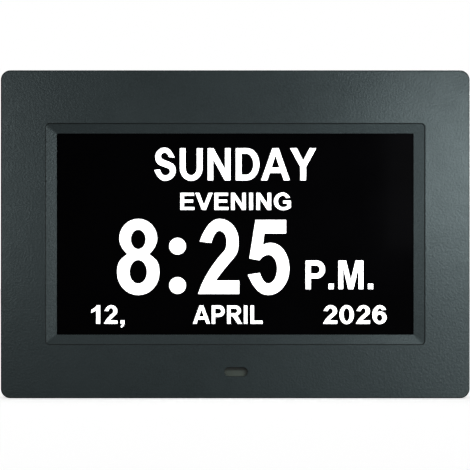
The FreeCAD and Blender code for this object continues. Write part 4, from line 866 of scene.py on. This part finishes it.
class Lettering:
    """Sets words in the plain bold letters of the display.

    ROUNDNESS is how far a handle reaches along a quarter of a circle, as a share of its radius, and STEPS
    is how many straight pieces a curved stretch is made of.
    """

    ROUNDNESS = 0.5523
    STEPS = 8

    def handles(self, start: tuple[float, ...], end: tuple[float, ...]) -> tuple[Vector, Vector]:
        """The two handles of the stretch between two knots.

        Args:
            start: the knot where it begins.
            end: the knot where it ends.

        Returns:
            The handle that leaves the first knot and the one that reaches the second.
        """
        near, far = Vector(start[:2]), Vector(end[:2])
        chord = far - near
        out, into = near + chord / 3, far - chord / 3
        if len(start) > 2:
            slope = Vector((math.cos(math.radians(start[2])), math.sin(math.radians(start[2]))))
            out = near + slope * chord.dot(slope) * self.ROUNDNESS
        if len(end) > 2:
            slope = Vector((math.cos(math.radians(end[2])), math.sin(math.radians(end[2]))))
            into = far - slope * chord.dot(slope) * self.ROUNDNESS
        if len(start) == 2 and len(end) > 2:
            out = near + (into - near) / 3
        if len(end) == 2 and len(start) > 2:
            into = far + (out - far) / 3
        return out, into

    def loop(self, drawing: bpy.types.Curve, knots: tuple[tuple[float, ...], ...], shift: float) -> None:
        """Draws one closed outline.

        Args:
            drawing: the curve that it goes into.
            knots: its knots.
            shift: how far right of the word's start the character stands.
        """
        spline = drawing.splines.new("BEZIER")
        spline.bezier_points.add(len(knots) - 1)
        spline.use_cyclic_u = True
        for number, knot in enumerate(knots):
            following = (number + 1) % len(knots)
            out, into = self.handles(knot, knots[following])
            here, there = spline.bezier_points[number], spline.bezier_points[following]
            here.handle_right_type = there.handle_left_type = "FREE"
            here.co = (knot[0] + shift, knot[1], 0)
            here.handle_right = (out.x + shift, out.y, 0)
            there.handle_left = (into.x + shift, into.y, 0)

    def word(self, letters: str) -> Shape:
        """Sets a word flat, with its first character's left edge at 0.

        Args:
            letters: its characters.

        Returns:
            Its filled shape, with capitals 100 units tall.
        """
        drawing = bpy.data.curves.new("word", "CURVE")
        drawing.dimensions = "2D"
        drawing.fill_mode = "BOTH"
        drawing.resolution_u = self.STEPS
        pen = -GLYPHS[letters[0]].before
        for letter in letters:
            glyph = GLYPHS[letter]
            for knots in glyph.loops:
                self.loop(drawing, knots, pen + glyph.before)
            pen += glyph.before + glyph.wide + glyph.after
        holder = placed("word", drawing)
        flat = bpy.data.meshes.new_from_object(holder)
        shape = bmesh.new()
        shape.from_mesh(flat)
        bpy.data.objects.remove(holder)
        bpy.data.curves.remove(drawing)
        bpy.data.meshes.remove(flat)
        bmesh.ops.remove_doubles(shape, verts=shape.verts, dist=1e-3)
        return shape


@dataclass(frozen=True)
class Word:
    """One group of characters on the display.

    Attributes:
        name: the piece's name.
        letters: what it reads.
        left: its left end, in millimetres from the middle of the case.
        width: its width in millimetres.
        base: the height of its base line above the table, in millimetres.
        tall: the height of its capitals or figures, in millimetres.
    """

    name: str
    letters: str
    left: float
    width: float
    base: float
    tall: float


@dataclass
class Display:
    """The black display and the white words that it shows.

    Attributes:
        words: what it reads, a made-up evening in spring.
        proud: how far the lit dots stand before the film, in metres.
        thick: how thick they are, in metres.
        colon_x: where the colon stands, in millimetres from the middle of the case.
        colon_levels: the heights of its two dots above the table, in millimetres.
        colon_radius: the radius of a dot, in millimetres.
        lit: the finish of all that is lit.
    """

    words: tuple[Word, ...] = (
        Word("reading_weekday", "SUNDAY", -40.2, 80.4, 108.1, 15.9),
        Word("reading_part_of_day", "EVENING", -27.2, 54.8, 93.4, 8.45),
        Word("reading_hour", "8", -58.6, 21.0, 51.7, 36.7),
        Word("reading_minute_tens", "2", -18.4, 20.4, 51.7, 36.7),
        Word("reading_minute_units", "5", 6.3, 20.6, 51.7, 36.7),
        Word("reading_half_day", "P.M.", 35.0, 33.4, 54.1, 14.15),
        Word("reading_day_number", "12,", -71.6, 16.7, 36.9, 9.1),
        Word("reading_month", "APRIL", -21.0, 34.6, 36.9, 9.1),
        Word("reading_year", "2026", 43.6, 31.5, 36.9, 9.1),
    )
    proud: float = 0.00003
    thick: float = 0.00002
    colon_x: float = -28.6
    colon_levels: tuple[float, float] = (75.4, 55.9)
    colon_radius: float = 4.15
    lit: LitFinish = field(default_factory=lambda: LitFinish(
        "lit_white_dots", (0.8, 0.8, 0.8), rough=0.3, relief=None, drift=0.02, wear=0.0, edge=0.00001))

    def front(self) -> float:
        """The plane just before the display's front film, where the dots light up."""
        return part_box("front_polariser")[0][1] - self.proud

    def letters(self, word: Word) -> Shape:
        """Sets a word in bold letters that fill its own space.

        Args:
            word: the word and its space.

        Returns:
            Its flat shape, standing in place on the display.
        """
        shape = Lettering().word(word.letters)
        across = word.width * MM / max(vertex.co.x for vertex in shape.verts)
        upward = word.tall * MM / 100
        for vertex in shape.verts:
            vertex.co = Vector((word.left * MM + vertex.co.x * across, self.front(),
                                word.base * MM + vertex.co.y * upward))
        return shape

    def thicken(self, shape: Shape) -> None:
        """Gives a flat shape a thin body behind its front.

        Args:
            shape: the flat shape.
        """
        grown = bmesh.ops.extrude_face_region(shape, geom=shape.faces[:])["geom"]
        moved = [item for item in grown if isinstance(item, bmesh.types.BMVert)]
        bmesh.ops.translate(shape, verts=moved, vec=(0, self.thick, 0))

    def colon(self) -> Shape:
        """The two round dots between hours and minutes.

        Returns:
            Their flat shape, standing in place on the display.
        """
        shape = bmesh.new()
        for level in self.colon_levels:
            flat_oblong(shape, Vector((self.colon_x * MM, self.front(), level * MM)),
                        self.colon_radius * MM, self.colon_radius * MM)
        return shape

    def build(self) -> None:
        """Builds every word and the colon."""
        shapes = {word.name: self.letters(word) for word in self.words}
        shapes["reading_colon"] = self.colon()
        for name, shape in shapes.items():
            self.thicken(shape)
            finished_piece(name, shape, "case", "screen_front", self.lit)


# ---------------------------------------------------------------- the keys

def loft(shape: Shape, centre: Vector, steps: list[tuple[float, float, float]]) -> None:
    """Joins oblong outlines along Y into one closed skin.

    Args:
        shape: the shape that the skin goes into.
        centre: the middle of the outlines; only its X and Z count.
        steps: each outline's Y, half length and half height, with no two neighbours in one plane; the
            first and the last are filled.
    """
    rings = []
    for depth, half_long, half_tall in steps:
        made = flat_oblong(shape, Vector((centre.x, depth, centre.z)), half_long, half_tall)
        lid = made[0].link_faces[0]
        rings.append((list(lid.edges), lid))
    for (near, _), (far, _) in zip(rings, rings[1:]):
        bmesh.ops.bridge_loops(shape, edges=near + far)
    bmesh.ops.delete(shape, geom=[lid for _, lid in rings[1:-1]], context="FACES_ONLY")


class KeyMark(Enum):
    """What the mark on a key shows: a plain shape that any clock or player uses."""

    POWER = 1
    MENU = 2
    UP = 3
    DOWN = 4
    CONFIRM = 5
    BACK = 6


@dataclass
class Print:
    """Thin printed strokes on a face that looks along +Y.

    Attributes:
        middle: the middle of the mark, on the face.
        reach: half the size of a mark, in metres.
        stroke: how wide its strokes are, in metres.
        thick: how thick the print is, in metres.
        ring: the radius of a round stroke, in reaches.
        ring_gap: how wide a round stroke is open at its top, in degrees.
        ring_steps: how many straight pieces a round stroke is made of.
        overlap: how far a straight stroke runs on at its two ends together, in strokes.
    """

    middle: Vector
    reach: float = 0.00085
    stroke: float = 0.0003
    thick: float = 0.00002
    ring: float = 0.85
    ring_gap: float = 80.0
    ring_steps: int = 30
    overlap: float = 0.6

    def bar(self, shape: Shape, start: tuple[float, float], end: tuple[float, float]) -> None:
        """Adds a straight stroke.

        Args:
            shape: the print's shape, round the origin.
            start: one end, right of and above the middle as its reader sees it, in reaches.
            end: the other end.
        """
        near, far = (Vector((-across, 0, up)) * self.reach for across, up in (start, end))
        along = far - near
        made = bmesh.ops.create_cube(shape, size=1.0)["verts"]
        long = along.length + self.stroke * self.overlap
        bmesh.ops.scale(shape, verts=made, vec=(long, self.thick, self.stroke))
        bmesh.ops.rotate(shape, verts=made, cent=(0, 0, 0),
                         matrix=Matrix.Rotation(-math.atan2(along.z, along.x), 3, "Y"))
        bmesh.ops.translate(shape, verts=made, vec=(near + far) / 2)

    def arc(self, shape: Shape) -> None:
        """Adds a round stroke that is open at its top.

        Args:
            shape: the print's shape, round the origin.
        """
        section = bmesh.ops.create_grid(shape, x_segments=1, y_segments=1, size=0.5)["verts"]
        bmesh.ops.scale(shape, verts=section, vec=(self.stroke, self.thick, 1.0))
        bmesh.ops.translate(shape, verts=section, vec=(self.ring * self.reach, 0, 0))
        start = math.radians(self.ring_gap / 2 - 90)
        bmesh.ops.rotate(shape, verts=section, cent=(0, 0, 0), matrix=Matrix.Rotation(start, 3, "Y"))
        bmesh.ops.spin(shape, geom=section + section[0].link_faces[:] + section[0].link_faces[0].edges[:],
                       cent=(0, 0, 0), axis=(0, 1, 0), steps=self.ring_steps,
                       angle=math.radians(360 - self.ring_gap), use_merge=False, use_duplicate=False)

    def draw(self, mark: KeyMark) -> Shape:
        """Draws one mark in its place.

        Args:
            mark: which mark.

        Returns:
            The strokes, standing on the face.
        """
        lines = {
            KeyMark.POWER: [((0, 0.15), (0, 1.0))],
            KeyMark.MENU: [((-0.9, up), (0.9, up)) for up in (-0.75, 0.0, 0.75)],
            KeyMark.UP: [((-0.9, -0.45), (0, 0.45)), ((0, 0.45), (0.9, -0.45))],
            KeyMark.DOWN: [((-0.9, 0.45), (0, -0.45)), ((0, -0.45), (0.9, 0.45))],
            KeyMark.CONFIRM: [((-0.9, 0.05), (-0.25, -0.65)), ((-0.25, -0.65), (0.95, 0.7))],
            KeyMark.BACK: [((-1.0, 0), (1.0, 0)), ((-1.0, 0), (-0.35, 0.65)), ((-1.0, 0), (-0.35, -0.65))],
        }
        shape = bmesh.new()
        if mark is KeyMark.POWER:
            self.arc(shape)
        for start, end in lines[mark]:
            self.bar(shape, start, end)
        bmesh.ops.translate(shape, verts=shape.verts, vec=self.middle)
        return shape


@dataclass
class KeyRow:
    """Six oblong key caps, each with a flange and a pip behind it, a shallow dish and a printed mark.

    Attributes:
        edge: how far the cap's rim is rounded, in metres.
        rim: how wide the flat edge round the dish is, in metres.
        slope: how wide the dish's sloping side is, in metres.
        dish: how deep the dish is, in metres.
        pip: the radius of the pip that presses the plunger, in metres.
        pip_long: how long the pip is, in metres.
        flange: how far the flange stands out round the cap, in metres.
        flange_thick: how thick the flange is, in metres.
        draft: how far the flat rings slope, so that they leave the mould, in metres.
        print_finish: the finish of the marks.

    RIM_TURNS are the turns of the outlines along the rounded rim, in degrees, and DISH_SHARES are the places
    of the outlines on the dish's slope, from its top at 0 to its floor at 1.
    """

    edge: float = 0.0004
    rim: float = 0.00035
    slope: float = 0.0007
    dish: float = 0.0004
    pip: float = 0.0015
    pip_long: float = 0.0016
    flange: float = 0.001
    flange_thick: float = 0.0011
    draft: float = 0.00001
    print_finish: Finish = field(default_factory=lambda: Finish(
        "pale_key_print", (0.5, 0.52, 0.52), rough=0.6, relief_depth=0.000002, drift=0.1, wear=0.0,
        edge=0.00001))

    RIM_TURNS = range(0, 91, 15)
    DISH_SHARES = (0.0, 0.25, 0.5, 0.75, 1.0)

    def cap(self, number: int) -> None:
        """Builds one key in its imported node's place.

        Args:
            number: the key's number, from 1.
        """
        node = f"key_{number}"
        low, high = (Vector(corner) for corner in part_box(node))
        centre = (low + high) / 2
        wide, tall = (high.x - low.x) / 2, (high.z - low.z) / 2
        long, short = wide - self.flange, tall - self.flange
        flange_front = low.y + self.pip_long
        flange_back = flange_front + self.flange_thick
        steps = [(low.y, self.pip, self.pip), (flange_front, self.pip, self.pip),
                 (flange_front + self.draft, wide, tall), (flange_back, wide, tall),
                 (flange_back + self.draft, long, short)]
        for turn in self.RIM_TURNS:
            away = self.edge * (1 - math.cos(math.radians(turn)))
            rise = self.edge * (math.sin(math.radians(turn)) - 1)
            steps.append((high.y + rise, long - away, short - away))
        for share in self.DISH_SHARES:
            inset = self.edge + self.rim + self.slope * share
            depth = (self.dish - self.draft) * (1 - math.cos(math.pi * share)) / 2
            steps.append((high.y - self.draft - depth, long - inset, short - inset))
        shape = bmesh.new()
        loft(shape, centre, steps)
        smooth_faces(shape)
        piece = finished_piece(f"keycap_{number}", shape, f"button_{number}", "key_plastic")
        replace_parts(piece, node)
        floor = Vector((centre.x, high.y - self.dish, centre.z))
        strokes = Print(floor).draw(KeyMark(number))
        finished_piece(f"key_mark_{number}", strokes, f"button_{number}", "key_plastic", self.print_finish)

    def build(self) -> None:
        """Builds all six keys."""
        for number in range(1, len(KeyMark) + 1):
            self.cap(number)


# ---------------------------------------------------------------- the stand's foot

@dataclass
class FootPad:
    """The soft ribbed pad that the stand leg rests on.

    Attributes:
        ribs: how many ribs its sole has.
        groove: how deep the grooves between them are, in metres.
        gap_share: how wide a groove is, as a share of the ribs' pitch.
        wall_share: how far a groove's walls lean in, as a share of its depth.
        rounding: how far its edges are rounded, in metres.

    DOWN is the most that a normal's Z may be on a face of the sole.
    """

    ribs: int = 12
    groove: float = 0.0004
    gap_share: float = 0.4
    wall_share: float = 0.3
    rounding: float = 0.0003

    DOWN = -0.99

    def build(self) -> None:
        """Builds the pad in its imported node's place."""
        low, high = (Vector(corner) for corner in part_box("kickstand_foot"))
        shape = bmesh.new()
        verts = bmesh.ops.create_cube(shape, size=1.0)["verts"]
        bmesh.ops.scale(shape, verts=verts, vec=high - low)
        bmesh.ops.translate(shape, verts=verts, vec=(high + low) / 2)
        bmesh.ops.bevel(shape, geom=shape.edges[:], offset=self.rounding, affect="EDGES", segments=4,
                        profile=0.5, material=-1, offset_type="OFFSET", clamp_overlap=True)
        pitch = (high.x - low.x) / self.ribs
        for rib in range(1, self.ribs):
            for side in (-0.5, 0.5):
                place = Vector((low.x + pitch * (rib + side * self.gap_share), 0, 0))
                bmesh.ops.bisect_plane(shape, geom=shape.verts[:] + shape.edges[:] + shape.faces[:],
                                       plane_co=place, plane_no=(1, 0, 0))
        grooves = []
        for face in shape.faces:
            turn = (face.calc_center_median().x - low.x) / pitch
            if face.normal.z < self.DOWN and abs(turn - round(turn)) < self.gap_share / 4:
                grooves.append(face)
        bmesh.ops.inset_individual(shape, faces=grooves, thickness=self.groove * self.wall_share,
                                   depth=-self.groove)
        smooth_faces(shape)
        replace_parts(finished_piece("foot_pad", shape, "stand", "soft_rubber"), "kickstand_foot")


# ---------------------------------------------------------------- the studio

@dataclass(frozen=True)
class SoftBox:
    """One soft lamp.

    Attributes:
        name: the lamp's name.
        place: where it hangs, in metres.
        aim: the point that it faces.
        size: its width and height in metres.
        power: its power in watts.
        spills: whether it lights the floor too, and not the clock alone.
    """

    name: str
    place: tuple[float, float, float]
    aim: tuple[float, float, float]
    size: tuple[float, float]
    power: float
    spills: bool = False


@dataclass
class Studio:
    """The pale floor, the soft lamps, the white surround and the camera.

    Attributes:
        lamps: the soft lamps.
        ambient: how strongly the surround lights the clock.
        view_wide: how wide the view is at the case's front, in metres.
        view_far: how far the camera stands before the case's front, in metres.
        render_wide: how wide the view is in pixels.
        case_offset: how far the case's middle lies right of and above the view's middle, in pixels.
        sensor: how wide the camera's sensor is, in millimetres.
        floor_reach: how far the floor runs each way, in metres.
        floor_tone: how pale the floor is, from 0 to 1, as it throws light on the clock and as it is seen.
        floor_glow: how much white the floor gives of its own where it is seen.
    """

    lamps: tuple[SoftBox, ...] = (
        SoftBox("soft_box_right", (0.284, -0.227, 0.088), (0.255, 0.0, 0.088), (0.34, 0.2), 2.4),
        SoftBox("soft_box_right_high", (0.122, -0.12, 0.118), (0.11, 0.0, 0.118), (0.09, 0.092), 0.3),
        SoftBox("soft_box_left", (-0.151, -0.217, 0.116), (-0.075, 0.0, 0.09), (0.04, 0.15), 0.31),
        SoftBox("soft_box_above", (0.0, 0.2, 4.0), (0.0, 0.2, 0.0), (8.0, 8.0), 125.0, True),
        SoftBox("soft_box_behind", (0.5, 1.2, 0.8), (0.0, 0.0, 0.08), (1.2, 0.8), 9.0),
        SoftBox("soft_box_back", (0.24, 0.5, 0.24), (0.1, 0.0, 0.1), (0.3, 0.3), 4.0),
    )
    ambient: float = 0.1
    view_wide: float = 0.23292
    view_far: float = 3.0
    render_wide: int = 470
    case_offset: tuple[float, float] = (0.21, 0.72)
    sensor: float = 36.0
    floor_reach: float = 6.0
    floor_tone: tuple[float, float] = (0.8, 0.9)
    floor_glow: float = 0.6

    def camera(self) -> None:
        """Stands the camera straight before the case, level with its middle."""
        low, high = cad_box
        pixel = self.view_wide / self.render_wide
        data = bpy.data.cameras.new("camera")
        data.sensor_width = self.sensor
        data.lens = self.sensor * self.view_far / self.view_wide
        data.clip_end = 50.0
        eye = placed("camera", data)
        eye.location = ((low[0] + high[0]) / 2 - self.case_offset[0] * pixel, low[1] - self.view_far,
                        (low[2] + high[2]) / 2 - self.case_offset[1] * pixel)
        eye.rotation_euler = (math.radians(90), 0, 0)
        bpy.context.scene.camera = eye

    @staticmethod
    def clock() -> bpy.types.Collection:
        """Gathers what the lamps that spare the floor shine on.

        Returns:
            A group of all the clock's meshes.
        """
        group = bpy.data.collections.new("clock")
        for piece in bpy.data.objects:
            if piece.type == "MESH":
                group.objects.link(piece)
        return group

    def hang(self, lamp: SoftBox, group: bpy.types.Collection) -> None:
        """Hangs one soft box.

        Args:
            lamp: the soft box.
            group: what it shines on where it doesn't spill on the floor.
        """
        data = bpy.data.lights.new(lamp.name, "AREA")
        data.shape = "RECTANGLE"
        data.size, data.size_y = lamp.size
        data.energy = lamp.power
        box = placed(lamp.name, data)
        box.location = lamp.place
        box.visible_camera = False
        if not lamp.spills:
            box.light_linking.receiver_collection = group
        box.rotation_euler = (Vector(lamp.aim) - Vector(lamp.place)).to_track_quat("-Z", "Y").to_euler()

    def shown(self, web: ShaderTree) -> Socket:
        """Where the background shows its own white: to the eye, in gloss and through glass.

        Args:
            web: the tree of the floor or the surround.

        Returns:
            A value from 0 to 1.
        """
        path = web.add("LightPath").outputs
        straight = web.math("MAXIMUM", path["Is Camera Ray"], path["Is Transmission Ray"])
        return web.math("MAXIMUM", straight, path["Is Glossy Ray"])

    def surround(self) -> None:
        """Fills the world: white to the eye and in mirrors, dim as a light."""
        world = bpy.data.worlds.new("white_surround")
        web = ShaderTree.blank(world)
        seen = self.shown(web)
        white = web.add("Background", {"Color": (1, 1, 1, 1), "Strength": 1.0})
        dim = web.add("Background", {"Color": (1, 1, 1, 1), "Strength": self.ambient})
        both = web.add("MixShader", {0: seen, 1: dim.outputs[0], 2: white.outputs[0]})
        web.add("OutputWorld", {"Surface": both.outputs[0]})
        bpy.context.scene.world = world

    def floor(self) -> None:
        """Lays the pale floor, which shows white and keeps the shadow of the clock."""
        shape = bmesh.new()
        bmesh.ops.create_grid(shape, x_segments=2, y_segments=2, size=self.floor_reach)
        finish = bpy.data.materials.new("pale_floor")
        web = ShaderTree.blank(finish)
        seen = self.shown(web)
        tone = web.blend(seen, *((pale, pale, pale, 1) for pale in self.floor_tone))
        matte = web.add("BsdfDiffuse", {"Color": tone})
        bright = web.math("MULTIPLY", seen, self.floor_glow)
        glow = web.add("Emission", {"Color": (1, 1, 1, 1), "Strength": bright})
        both = web.add("AddShader", {0: matte.outputs[0], 1: glow.outputs[0]})
        web.add("OutputMaterial", {"Surface": both.outputs[0]})
        mesh_of("floor", shape, finish)

    def build(self) -> None:
        """Sets up the whole studio."""
        group = self.clock()
        self.floor()
        self.surround()
        for lamp in self.lamps:
            self.hang(lamp, group)
        self.camera()


def main() -> None:
    """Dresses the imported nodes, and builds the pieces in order."""
    logging.basicConfig(level=logging.INFO)
    bpy.context.scene.view_settings.view_transform = "Standard"
    for entry in frame["record"]["subparts"]:
        PAINT.dress_node(entry["node"], entry["material_slot"])
    Display().build()
    KeyRow().build()
    FootPad().build()
    Studio().build()


if __name__ == "__main__":
    main()
